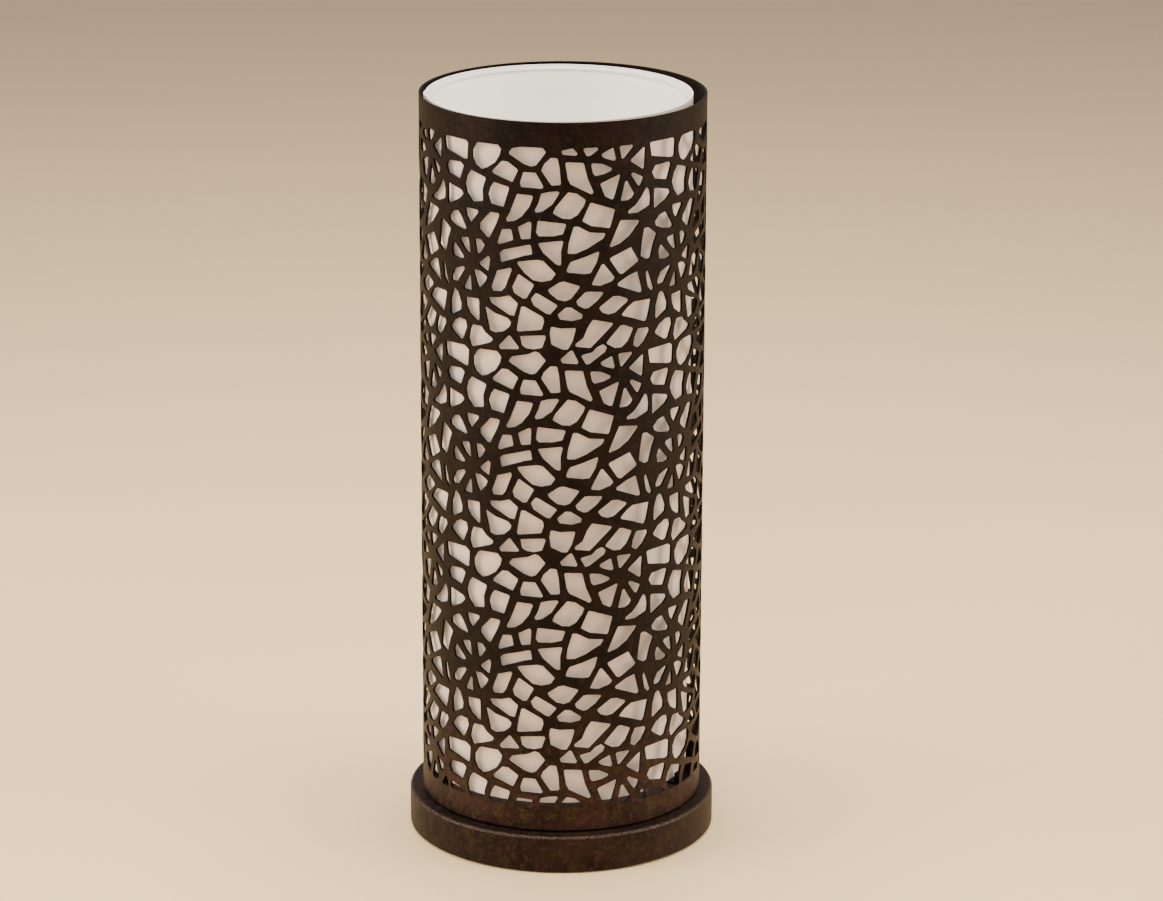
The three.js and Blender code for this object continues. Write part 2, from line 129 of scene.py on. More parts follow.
class LampBaseSizes(bpy.types.PropertyGroup):
    """Sizes of the base."""
    wall: length("Wall", "Thickness of the pan's wall", 1.8 * MM)
    edge: length("Edge radius", "Radius of the pan's upper edge", 2 * MM)
    foot: length("Foot radius", "Radius of the pan's lower edge", 0.6 * MM)
    tube_hole: length("Tube hole", "Radius of the hole for the threaded tube", 5.3 * MM)


class LampLinerSizes(bpy.types.PropertyGroup):
    """Sizes of the liner."""
    wall: length("Wall", "Thickness of the liner", 0.8 * MM)
    lap: length("Lap", "Width of the glued lap at the side", 9 * MM)
    weave: length("Weave", "Distance from thread to thread", 0.85 * MM)


class LampColours(bpy.types.PropertyGroup):
    """Colours of the lamp's finishes."""
    bronze: colour("Bronze", "Main colour of the patina", (0.022, 0.0102, 0.0064))
    bronze_dark: colour("Dark bronze", "Dark clouds in the patina", (0.0085, 0.0044, 0.0028))
    bronze_olive: colour("Olive bronze", "Warm clouds in the patina", (0.040, 0.0255, 0.0095))
    bronze_violet: colour("Violet bronze", "Cool clouds in the patina", (0.042, 0.0175, 0.0185))
    liner: colour("Liner", "The liner's fabric", (0.79, 0.61, 0.49))
    liner_inside: colour("Liner inside", "The liner's inner face", (0.93, 0.88, 0.79))
    floor: colour("Floor", "The stage", (0.92, 0.665, 0.35))


class LampCamera(bpy.types.PropertyGroup):
    """Where the camera stands and how it is turned."""
    distance: length("Distance", "From the lamp's axis", 2.2294)
    height: length("Height", "Above the floor", 0.8959)
    pitch: tilt("Pitch", "Down from level", 17.101)
    yaw: tilt("Yaw", "Turned towards +X", 0.2663)
    roll: tilt("Roll", "Turned about the view", -0.2195)
    lens: bpy.props.FloatProperty(
        name="Lens", description="Focal length in millimetres", default=134.85)


# The openings of one repeat of the pattern, in millimetres: each opening's corner points, as
# the distance round the shade from the repeat's left edge and the distance down from its top.
REPEAT_WIDTH = 118.6
OPENINGS = """
-5,1 10.5,0.3 13.2,2.2 12.6,10.9 10,11 -3.8,8.2
18.5,1.8 21,0.5 31,0.3 33.3,3 32.5,6.2 30,10.2 25,13.5 21.3,14.8 17.8,12.8 16.2,9.4 16.2,5.6
33.8,9.4 37,9.3 42.7,13.1 39.5,19.9 27.3,15.9
-1.5,13.8 8,13.2 10.2,14.6 7.2,22.2 -1.5,20.4 -3.4,17
15,16.2 24.5,19 22.5,25 22.8,31.4 16,32.6 12.3,28.3 10.8,24 12.4,19.5
29.2,20.8 38,22.6 34.6,33.2 27.3,32.2 25.8,27.5 27,23.8
-2,25.4 8.5,27.8 10,29.5 7,32.3 -2,36.7
11,36.4 20.6,36.7 14.7,44.2 12.2,40.8
27,36.8 32.6,36.9 30.7,42 26.5,50.3 24.6,50.1 20.1,46.1 20.5,43.6
-1.2,43.2 1.8,40.2 6,39 8,41 12.1,47.6 10.6,48.3 4,47.3 -0.5,45.3
6.9,53.2 13.3,52 14.9,61.5 10.5,58
17.5,52 21.5,52 23.6,54.5 21.8,57.8 19,60.6
2.6,56 4,56.6 11,63.4 7,64.1 2,63.4 1.3,59.6
26.6,59.4 26.8,62 25.8,68.4 19.4,65
16.3,68.4 21,68.6 25.2,71.2 24,73.8 20.1,78.2 19.1,76
13.9,71.2 14.7,72.5 15.2,79.8 9.2,79.8
12.2,66.9 5.3,76.5 1,77 0.8,74.5 3,70.5
1.7,81.8 3.6,80.7 5.8,82.4 8.1,88 7.8,91.2 0.4,95.4 -0.4,94 -0.3,88
11.2,84.1 20,83.7 20.3,95.5 18,95 13.6,92 11.7,88.5
23.3,86.5 30,90 37,91.8 38.9,93.8 38,96 34.5,99 29.5,100.3 26.5,99.3 25.7,96
25.5,82 33,81.2 38,79.7 42.5,83.4 40.5,90.3 37.5,89.9 27.2,84.7
30.8,67.4 35.5,66 39.9,64.3 35.6,75.3 33.3,77.8 28.3,78.2 27.4,76.3
43,67.7 51.2,73 47,80.5 45,80.6 40.4,78 39.5,75.2
32.2,58 34.5,55.9 44,53.3 49.4,51.8 50.2,57 45.5,58 33,62.5
33.8,45.1 39,44.5 40.1,50 30.3,53.9 31.8,50
42.2,25.8 50.8,26.2 48.6,32 44.5,37.3 40.5,40 35.2,41.1 38.3,35.5
42.5,43.3 49.8,39.3 49.3,48.7 44.3,49.5
53.2,39.2 67.9,40.6 66,45.9 61,47.1 53.6,47.3 52.3,45.5
55,25 59,24 64.9,23.4 60.5,30.4 55.5,34.2 50.8,35.4 53.6,30
68.8,24.1 73,24.8 77.8,28.3 77,31 73.5,36 70,38 66,37.8 61,35.2 62.5,31.8
67.3,8.4 76.6,8.9 78.6,17 82.2,25.3 80.5,25.2 70,19.8 68.7,17
60,6.2 63.1,6.3 64.1,11 64.9,20.2 60.2,20.5 55,13 56.5,9.6
45.6,14.2 52,14.2 56.1,21.5 55,22.3 44,22 43.7,19.8
37.2,5 39.5,2.2 48,0.4 51.8,-1.4 53.8,-0.8 57.3,3.2 52,10.2 49.5,11 45.5,9.8
70.9,-2.8 74.7,5.2 66,4.4 65.1,2.4
75.6,0.4 81.5,-0.9 84.2,-3.6 87.2,-4.9 89.5,-2.8 88.5,-0.7 80.5,5 78.6,5.5
85.4,4.9 92.3,1.6 94.2,9 88,6.9
95.6,0.8 105.2,0.7 98,8.1 96.9,7.3
101.7,9.2 110,2.8 110.8,4 110.3,14.3 109.4,14.4
100.4,14 109.9,19 107.8,23.4 106,22
99.2,19.1 100.3,20 104.4,26.9 103,28.8 101,29.8 96.4,30
85.4,20 96.8,15.4 95,21 92.7,28.7 91.5,28.5 88,26.7
80.5,9.2 86.5,9.9 93,13.1 88,15 83,15.9 81.7,14.5
111.8,24 113.6,26.2 114.3,30 114,34.2 107,37 101.5,37 100.3,35.9 105,33 108.3,29.3
80.3,29.7 93.6,34.2 90.8,43.6 81,41.9 76.1,39.2
71.8,42 74,42.2 80,45.4 88.8,46.2 87,49 79,53.7 73,56.2 68.6,56.3 69.3,50.5
96.5,40 108.6,41.2 102,48.5 96.5,52.2 90,54.4 93,47.8
110.4,45.8 113,45.7 118.8,49.8 116.5,54.8 114.5,61.8 112.5,62.3 108.3,60 109,54
53,51 66.4,49.4 65,55 65.1,62.8 62.5,61.7 56,56
42.2,61.5 53,59.8 56,60.3 62.4,66.8 60,70.2 55,71.3 50.5,70.5 46,67 42.5,63
70.3,60.6 77,58.4 85.6,55.1 83.6,61.5 80.6,66.8 77,67.1 68,66 68.9,63
86.9,61.7 93.6,70.2 92,71.8 86,73.7 81,73 84,67
90.5,59.6 96,57.3 102.6,54.8 107.6,62.7 98,68.5 96,67.9
95,74.3 95.4,73 101,69.8 106.7,67.9 109.8,79.5 108,79.4
112.3,65.5 114.6,72.5 117,79 115.5,79.7 113,77 111.7,70
58.5,75.4 64.5,71.4 66.8,71 75.3,73.6 70.2,80.2 67.3,81.3 63.5,80.5 59.5,77.3
52.3,77.4 54,78 63.5,83.6 59.5,88.5 57.5,88 51,84 49.5,80.8
67.8,84.7 70.5,84.8 76.3,88.6 76,90.7 71,91.8 64.8,91 63.5,88.5
73.2,81.4 77.8,76.8 80,76.6 88.3,77.2 84,81.8 79.5,85.2 77.5,85.4 74.3,83.8
85,85.3 92.5,79.9 96,80 102,82.6 94,88.6 90.5,89.2 87.3,88.2
97,90.3 101,86.3 104.5,84 115.3,83.9 113,93.5 112,95.5 104.5,92.6
44.5,85 46.5,85 55.8,90 56.3,92.5 55,96.7 41.8,98.5 43,91
43.6,100.8 57.6,99.6 55.3,106.3 51,107.3 47,107 44.8,105.6
38,100.6 43.9,107.7 32.5,108.8 31.7,107.3
15.8,98.1 21.6,98.1 24,101 28.9,104 26.5,106 15,110 13.2,106 14.3,101
-0.8,102.2 2.4,98.3 7,96 11.2,96.6 12,100 9,106.8 6.8,107.3 1.2,103.9
60.2,94.9 65,95.9 73.1,95.6 71,103 68.7,107 66,107 60.3,104.4 59.6,99
81.8,91.6 93.6,94.3 80.7,106.5 73,105.6 73,104 77,101 79.2,95.5
96.8,95.8 98.5,95.7 104.6,98.2 101.3,104.6 98,107.5 94,107.5 88.9,104.4
107,98.6 113.8,99 114.2,101 111,106 107.5,108.8 104.3,107 105,103
"""


# ---- Node trees as expressions ---------------------------------------------------------

class Link:
    """A node's output socket, with arithmetic that adds Math nodes."""

    def __init__(self, graph, socket):
        self.graph = graph
        self.socket = socket

    def math(self, operation, *others):
        return self.graph.add("ShaderNodeMath", {"operation": operation}, [self, *others])

    def __add__(self, other):
        return self.math("ADD", other)

    def __sub__(self, other):
        return self.math("SUBTRACT", other)

    def __rsub__(self, other):
        return self.graph.add("ShaderNodeMath", {"operation": "SUBTRACT"}, [other, self])

    def __mul__(self, other):
        return self.math("MULTIPLY", other)

    def __truediv__(self, other):
        return self.math("DIVIDE", other)

    __radd__ = __add__
    __rmul__ = __mul__

    def clamped(self, low, high):
        return self.math("MAXIMUM", low).math("MINIMUM", high)


class Graph:
    """A node tree that is built by calls."""

    def __init__(self, tree):
        self.tree = tree

    def node(self, kind, settings=None, values=()):
        """Adds a node: its settings first, then the values or links of its sockets."""
        made = self.tree.nodes.new(kind)
        for key, value in (settings or {}).items():
            setattr(made, key, value)
        pairs = values.items() if isinstance(values, dict) else enumerate(values)
        for key, value in pairs:
            target = made.inputs[key]
            if isinstance(value, Link):
                self.tree.links.new(value.socket, target)
            else:
                target.default_value = value
        return made

    def add(self, kind, settings=None, values=(), output=0):
        """Adds a node and returns one of its outputs."""
        return Link(self, self.node(kind, settings, values).outputs[output])

    def vector(self, x=0, y=0, z=0):
        return self.add("ShaderNodeCombineXYZ", None, [x, y, z])

    def parts(self, vector):
        made = self.node("ShaderNodeSeparateXYZ", None, [vector])
        return [Link(self, socket) for socket in made.outputs]


    def row(self, count, offset, start=(0, 0, 0)):
        """Points at even steps."""
        return self.add("GeometryNodeMeshLine", {"mode": "OFFSET"},
                        {"Count": count, "Offset": offset, "Start Location": start})

    def copied(self, points, item):
        """A real copy of an item on every point."""
        made = self.add("GeometryNodeInstanceOnPoints", None, {"Points": points, "Instance": item})
        return self.add("GeometryNodeRealizeInstances", None, [made])

    def moved(self, item, place):
        return self.add("GeometryNodeSetPosition", None, {"Geometry": item, "Position": place})

    def without(self, item, chosen, domain="POINT"):
        return self.add("GeometryNodeDeleteGeometry", {"domain": domain}, [item, chosen])


class Material(Graph):
    """A Principled material. Varying inputs are links and constants are plain values."""

    def __init__(self, name, **constants):
        self.material = bpy.data.materials.new(name)
        self.material.use_nodes = True
        super().__init__(self.material.node_tree)
        self.shader = self.tree.nodes["Principled BSDF"]
        self.place = self.add("ShaderNodeTexCoord", None, (), "Object")
        for socket, value in constants.items():
            self.set(socket.replace("_", " ").title().replace("Ior", "IOR"), value)

    def set(self, socket, value):
        target = self.shader.inputs[socket]
        if isinstance(value, Link):
            self.tree.links.new(value.socket, target)
        else:
            target.default_value = (*value, 1) if target.type == "RGBA" else value

    def noise(self, scale, detail=4, roughness=0.5, where=None, distortion=0):
        values = {"Vector": where or self.place, "Scale": scale, "Detail": detail,
                  "Roughness": roughness, "Distortion": distortion}
        return self.add("ShaderNodeTexNoise", None, values, "Fac")

    def level(self, value, low, high, to_low=0.0, to_high=1.0):
        """Carries a value from one range to another and keeps it there."""
        settings = {"clamp": True, "interpolation_type": "SMOOTHSTEP"}
        values = {0: value, 1: low, 2: high, 3: to_low, 4: to_high}
        return self.add("ShaderNodeMapRange", settings, values, "Result")

    def mix(self, share, first, second, blend="MIX"):
        values = {0: share, 6: self.shade(first), 7: self.shade(second)}
        return self.add("ShaderNodeMix", {"data_type": "RGBA", "blend_type": blend}, values, 2)

    def mottle(self, pattern, low, high, first, second):
        """Gives the base colour, which goes from one to another as a pattern rises."""
        self.set("Base Color", self.mix(self.level(pattern, low, high), first, second))

    @staticmethod
    def shade(value):
        return value if isinstance(value, Link) else (*value, 1)

    def bump(self, height, strength, distance):
        values = {"Height": height, "Strength": strength, "Distance": distance}
        self.set("Normal", self.add("ShaderNodeBump", None, values, "Normal"))


# ---- Finishes --------------------------------------------------------------------------

def scaled(tint, share):
    return tuple(share * part for part in tint)


def bronze_finish(name, shade=1.0, upper=1.0, speckled=0.6):
    """Dark bronze with a mottled patina: clouds, small speckle and a fine grain. Painted light is
    mixed into the colour: it is lighter near the foot as painted bounce light from the floor and
    darker higher up, and a painted highlight runs along the base's upper edge, which is also made
    smoother."""
    colours = bpy.context.scene.lamp_colours
    made = Material(name, metallic=0.4, specular_ior_level=0.14)
    clouds = made.noise(38, 5, 0.6)
    speckle = made.noise(330, 5, 0.7, distortion=0.4)
    drift = made.noise(140, 3, 0.5, where=made.add(
        "ShaderNodeVectorMath", {"operation": "ADD"}, [made.place, (0.31, 0.12, 0.57)]))
    grain = made.noise(1100, 4, 0.7)
    body = made.mix(made.level(clouds, 0.38, 0.62), colours.bronze_dark, colours.bronze)
    olive = made.level(drift, 0.48, 0.64) * made.level(grain, 0.44, 0.58)
    body = made.mix(olive * 0.85, body, colours.bronze_olive)
    violet = made.level(drift, 0.50, 0.36) * made.level(speckle, 0.42, 0.58)
    body = made.mix(violet * 0.8, body, colours.bronze_violet)
    flecks = made.level(grain, 0.57, 0.70) * made.level(speckle, 0.42, 0.6)
    body = made.mix(flecks * speckled, body, scaled(colours.bronze, 2.6))
    pits = made.level(grain, 0.44, 0.34)
    body = made.mix(pits * 0.6, body, scaled(colours.bronze_dark, 0.45))
    x, y, z = made.parts(made.place)
    # Painted bounce light from the floor: the colour is lighter near the foot and darker higher
    # up, by the factors shade and upper.
    painted_floor_bounce = made.level(z, BASE_HIGH.z, BASE_HIGH.z + 90 * MM, shade, upper)
    body = made.mix(1.0, body, made.vector(painted_floor_bounce, painted_floor_bounce, painted_floor_bounce), "MULTIPLY")
    # Painted highlight: a thin lighter line along the base's upper edge. The same mask also lowers
    # the roughness there.
    from_axis = (x * x + y * y).math("SQRT")
    edge_highlight_and_wear = made.level(from_axis, BASE_RADIUS - 1.9 * MM, BASE_RADIUS - 0.8 * MM) * made.level(
        z, BASE_HIGH.z - 1.7 * MM, BASE_HIGH.z - 0.7 * MM) * made.level(grain, 0.38, 0.62)
    body = made.mix(edge_highlight_and_wear * 0.5, body, (0.15, 0.11, 0.08))
    made.set("Base Color", body)
    rough = 0.32 + 0.18 * speckle + 0.12 * clouds + 0.16 * grain - 0.15 * edge_highlight_and_wear
    made.set("Roughness", rough.clamped(0.3, 0.8))
    made.bump(speckle * 0.5 + grain * 0.35 + clouds * 0.3, 0.4, 0.0004)
    return made.material


def liner_finish(name, base, backing, painted_glow=0.0):
    """Off-white woven fabric: warp and weft that follow the sheet, with slubs and soft stains.
    It gives off a little painted light of its own, which brightens it evenly as a dimmed lamp
    would; the bulb itself gives no light."""
    sizes = bpy.context.scene.lamp_liner
    # The emission is painted light that brightens the fabric evenly; it is not the bulb's light.
    made = Material(name, sheen_weight=0.15, specular_ior_level=0.25,
                    emission_color=(1.0, 0.94, 0.84), emission_strength=painted_glow)
    sheet = made.add("ShaderNodeUVMap", {"uv_map": "sheet"})
    across, along, _ = made.parts(sheet)
    turns = 2 * math.pi / sizes.weave
    warp = (across * turns).math("SINE")
    weft = (along * turns).math("SINE")
    weave = (warp * weft) * 0.5 + 0.5
    slub = made.noise(1.0, 3, 0.6, where=made.vector(across * 30, along * 420))
    slub_up = made.noise(1.0, 3, 0.6, where=made.vector(across * 420, along * 30))
    cloth = weave * 0.55 + slub * 0.3 + slub_up * 0.3
    stain = made.noise(14, 3, 0.5)
    body = made.mix(made.level(cloth, 0.25, 0.85), scaled(base, 0.86), base)
    body = made.mix(made.level(stain, 0.45, 0.7) * 0.15, body, backing)
    made.set("Base Color", body)
    made.set("Roughness", 0.80 + 0.12 * slub)
    made.bump(cloth, 0.35, 0.00025)
    return made.material


def metal_finish(name, base, roughness, metallic=1.0, grain=600.0):
    """Plated or plain metal with fine turning marks and a few dull patches."""
    made = Material(name, metallic=metallic)
    x, y, z = made.parts(made.place)
    ring = (x * x + y * y).math("SQRT")
    marks = made.noise(1.0, 2, 0.6, where=made.vector(ring * grain * 4, z * grain, 0.0))
    dull = made.noise(120, 4, 0.6)
    made.mottle(dull, 0.4, 0.7, base, scaled(base, 0.72))
    rough = roughness + 0.18 * (dull - 0.5) + 0.10 * (marks - 0.5)
    made.set("Roughness", rough.clamped(0.08, 1.0))
    made.bump(marks, 0.12, 0.0001)
    return made.material


def moulded_finish(name, base, roughness, texture=900.0, depth=0.15):
    """Moulded plastic or fired ceramic: an even colour with a fine surface texture."""
    made = Material(name)
    fine = made.noise(texture, 3, 0.6)
    broad = made.noise(60, 3, 0.5)
    made.mottle(broad, 0.35, 0.7, base, scaled(base, 0.88))
    rough = roughness + 0.12 * (fine - 0.5) + 0.08 * (broad - 0.5)
    made.set("Roughness", rough.clamped(0.05, 1.0))
    made.bump(fine, depth, 0.0001)
    return made.material


def fibre_finish(name, base, lighter, scale):
    """Felt or fibreboard: short tangled fibres in two shades."""
    made = Material(name, specular_ior_level=0.2)
    tangle = made.noise(scale, 6, 0.75, distortion=1.2)
    clumps = made.noise(scale / 9, 3, 0.6)
    body = made.mix(made.level(tangle, 0.35, 0.68), base, lighter)
    made.set("Base Color", made.mix(made.level(clumps, 0.4, 0.7) * 0.4, body, base))
    made.set("Roughness", 0.88 + 0.1 * tangle)
    made.bump(tangle, 0.6, 0.0004)
    return made.material


def cast_finish(name, base):
    """Raw iron casting: sandy skin with small pits and traces of rust."""
    made = Material(name, metallic=0.7)
    sand = made.noise(700, 5, 0.7)
    rust = made.noise(45, 5, 0.65)
    made.mottle(rust, 0.55, 0.75, base, (0.10, 0.045, 0.02))
    made.set("Roughness", 0.6 + 0.3 * sand)
    made.bump(sand, 0.6, 0.0005)
    return made.material


def glass_finish(name, base):
    """Opal glass: a milky coating with a faint cloudiness under a glossy skin."""
    made = Material(name, transmission_weight=0.15, coat_weight=0.6, coat_roughness=0.06)
    cloud = made.noise(55, 3, 0.5)
    made.mottle(cloud, 0.35, 0.7, base, scaled(base, 0.95))
    made.set("Roughness", 0.22 + 0.12 * cloud)
    return made.material


FINISHES = {}


def finish(name):
    """Returns a finish by name, making it the first time."""
    colours = bpy.context.scene.lamp_colours
    makers = {
        # The shade's bronze has painted bounce light: 1.5 times as light near the foot, 0.45 times
        # as light higher up.
        "bronze": (bronze_finish, 1.5, 0.45),
        "bronze_base": (bronze_finish, 1.0, 1.0, 0.95),
        # A darker copy of the bronze, painted as shade on the shade's inner faces and cut edges,
        # the collar and the gallery.
        "bronze_inside": (bronze_finish, 0.35, 0.3),
        "steel": (metal_finish, (0.52, 0.52, 0.50), 0.36),
        "brass": (metal_finish, (0.62, 0.43, 0.17), 0.3),
        "iron": (cast_finish, (0.06, 0.055, 0.05)),
        "felt": (fibre_finish, (0.016, 0.034, 0.024), (0.03, 0.06, 0.042), 900),
        "fibreboard": (fibre_finish, (0.12, 0.07, 0.038), (0.2, 0.125, 0.07), 500),
        "black_plastic": (moulded_finish, (0.018, 0.018, 0.018), 0.42),
        "white_plastic": (moulded_finish, (0.78, 0.76, 0.72), 0.35, 700, 0.08),
        "ceramic": (moulded_finish, (0.76, 0.72, 0.64), 0.5, 400, 0.3),
        # Both liner finishes give off painted light: 0.11 on the outside, 0.42 on the inner face.
        "liner_fabric": (liner_finish, colours.liner, colours.liner_inside, 0.11),
        "liner_inside": (liner_finish, colours.liner_inside, colours.liner_inside, 0.42),
        "opal_glass": (glass_finish, (0.93, 0.91, 0.87)),
    }
    if name not in FINISHES:
        maker, *values = makers[name]
        FINISHES[name] = maker(name, *values)
    return FINISHES[name]


# ---- Mesh helpers ----------------------------------------------------------------------

def new_object(name, data, *finishes):
    """An object in the scene: a mesh with its finishes, a light or a camera."""
    made = bpy.data.objects.new(name, data)
    bpy.context.scene.collection.objects.link(made)
    for item in finishes:
        data.materials.append(finish(item))
    return made


def settle(piece, body, slot, *nodes):
    """Smooths a finished piece, puts it on its body and lets it stand for its nodes."""
    piece.data.set_sharp_from_angle(angle=SHARP_ANGLE)
    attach(piece, body)
    if nodes:
        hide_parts(*nodes)
    return piece


def opened(mesh):
    """An editable copy of a mesh."""
    shape = bmesh.new()
    shape.from_mesh(mesh)
    return shape


def stored(shape, mesh):
    """Writes an edited shape to a mesh, or to a new mesh where only a name is given."""
    if isinstance(mesh, str):
        mesh = bpy.data.meshes.new(mesh)
    shape.to_mesh(mesh)
    shape.free()
    return mesh


def block(inner, outer, bottom, top):
    """A rectangular profile between two radii and two heights."""
    return [(inner, bottom), (outer, bottom), (outer, top), (inner, top)]


def turned(name, profile, steps=128, centre=(0.0, 0.0)):
    """A mesh turned from a closed profile of (radius, height) points, counter-clockwise."""
    shape = bmesh.new()
    rings = []
    for radius, height in profile:
        if radius < TINY:
            rings.append([shape.verts.new((centre[0], centre[1], height))])
            continue
        ring = []
        for step in range(steps):
            angle = 2 * math.pi * step / steps
            x = centre[0] + radius * math.cos(angle)
            y = centre[1] + radius * math.sin(angle)
            ring.append(shape.verts.new((x, y, height)))
        rings.append(ring)
    for first, second in zip(rings, rings[1:] + rings[:1]):
        for step in range(steps):
            ahead = (step + 1) % steps
            corners = [first[step % len(first)], first[ahead % len(first)],
                       second[ahead % len(second)], second[step % len(second)]]
            unique = list(dict.fromkeys(corners))
            if len(unique) > 2:
                shape.faces.new(unique)
    for face in shape.faces:
        face.smooth = True
    bmesh.ops.recalc_face_normals(shape, faces=shape.faces)
    return stored(shape, name)


def finished(name, mesh, slot, body, *nodes):
    """A finished piece whose finish has its slot's name."""
    return settle(new_object(name, mesh, slot), body, slot, *nodes)


def turned_piece(name, profile, steps, slot, body, *nodes):
    """A finished piece turned from a profile."""
    return finished(name, turned(name, profile, steps), slot, body, *nodes)


def rounded(points, radius, steps=3):
    """Rounds the corners of a closed profile. A corner may carry its own radius as a third
    value."""
    made = []
    count = len(points)
    for index, point in enumerate(points):
        here = Vector(point[:2])
        before = Vector(points[index - 1][:2]) - here
        after = Vector(points[(index + 1) % count][:2]) - here
        size = point[2] if len(point) > 2 else radius
        size = min(size, before.length * 0.45, after.length * 0.45)
        if size < TINY or here.x < TINY:
            made.append(tuple(here))
            continue
        start = here + before.normalized() * size
        end = here + after.normalized() * size
        for step in range(steps + 1):
            t = step / steps
            made.append(tuple(start * (1 - t) ** 2 + here * (2 * t * (1 - t)) + end * t ** 2))
    return made


# ---- Shade: geometry nodes lay out, cut and roll up the sheet --------------------------

def eased(outline, distance):
    """An outline moved outwards by a distance on every side."""
    corners = [Vector(point) for point in outline]
    turn = sum(b.cross(a) for a, b in zip(corners, corners[1:] + corners[:1]))
    made = []
    for index, here in enumerate(corners):
        into = (here - corners[index - 1]).normalized()
        onward = (corners[(index + 1) % len(corners)] - here).normalized()
        sides = [Vector((-way.y, way.x)) * math.copysign(1, turn) for way in (into, onward)]
        made.append(here + (sides[0] + sides[1]) * distance / max(
            0.6, 1 + sides[0].dot(sides[1])))
    return made


def new_tree(name, *inputs):
    """A geometry nodes tree with named inputs: numbers, or whole numbers where the name ends in
    a #. Returns its graph and its inputs by name."""
    tree = bpy.data.node_groups.new(name, "GeometryNodeTree")
    tree.is_modifier = True
    sockets = [("Geometry", "Geometry")]
    sockets += [(label.rstrip("#"), "Int" if label.endswith("#") else "Float") for label in inputs]
    for label, kind in (*sockets, ("Material", "Material")):
        tree.interface.new_socket(label, in_out="INPUT", socket_type=f"NodeSocket{kind}")
    tree.interface.new_socket("Geometry", in_out="OUTPUT", socket_type="NodeSocketGeometry")
    graph = Graph(tree)
    entry = graph.node("NodeGroupInput")
    return graph, {socket.name: Link(graph, socket) for socket in entry.outputs if socket.name}


def ended(graph, made, material):
    """Ends a tree: copies are made real, get their material and go out."""
    made = graph.add("GeometryNodeRealizeInstances", None, [made])
    made = graph.add("GeometryNodeSetMaterial", None, {"Geometry": made, "Material": material})
    graph.node("NodeGroupOutput", None, [made])
    return graph.tree


def stretch(around):
    """How much wider a repeat gets so that a whole number of them goes round the shade."""
    return 2 * math.pi * SHADE_RADIUS / around / (REPEAT_WIDTH * MM)


def openings_mesh(around, ease):
    """The pattern's openings as flat closed outlines, as wide as the shade allows."""
    wider = stretch(around)
    points, edges = [], []
    for line in OPENINGS.split("\n"):
        if not line:
            continue
        outline = [[float(part) for part in pair.split(",")] for pair in line.split()]
        outline = eased(outline, ease / MM)
        first = len(points)
        count = len(outline)
        points += [(u * MM * wider, -v * MM, 0) for u, v in outline]
        edges += [(first + i, first + (i + 1) % count) for i in range(count)]
    mesh = bpy.data.meshes.new("openings")
    mesh.from_pydata(points, edges, [])
    return mesh


def cut_at_bands(graph, pattern, place, lower, upper):
    """Cuts outlines off at two levels. Of each run of points past a level only the ends stay,
    and they move along their edges to the level."""
    across, level, _ = graph.parts(place)
    held = level.clamped(lower, upper)
    past = (level - held).math("ABSOLUTE").math("GREATER_THAN", TINY)

    def beside(step):
        index = graph.add("GeometryNodeOffsetPointInCurve", None, {"Offset": step}, 1)
        where = graph.add("GeometryNodeFieldAtIndex", {"data_type": "FLOAT_VECTOR"},
                          {"Value": place, "Index": index})
        there, up, _ = graph.parts(where)
        beyond = (up - up.clamped(lower, upper)).math("ABSOLUTE")
        return there, up, beyond.math("GREATER_THAN", TINY)
    before, after = beside(-1), beside(1)
    pattern = graph.without(pattern, past * before[2] * after[2])
    moved = across
    for (there, up, beyond), other in ((before, after), (after, before)):
        share = (held - level) / (up - level)
        moved = moved + past * (1 - beyond) * other[2] * share * (there - across)
    pattern = graph.moved(pattern, graph.vector(moved, held))

    # Openings that the bands leave next to nothing of are dropped.
    _, middle, _ = graph.parts(graph.add("GeometryNodeFieldOnDomain", {
        "data_type": "FLOAT_VECTOR", "domain": "CURVE"}, [place]))
    low = middle.math("LESS_THAN", lower + SLIVER)
    high = middle.math("GREATER_THAN", upper - SLIVER)
    return graph.without(pattern, low.math("MAXIMUM", high), "CURVE")


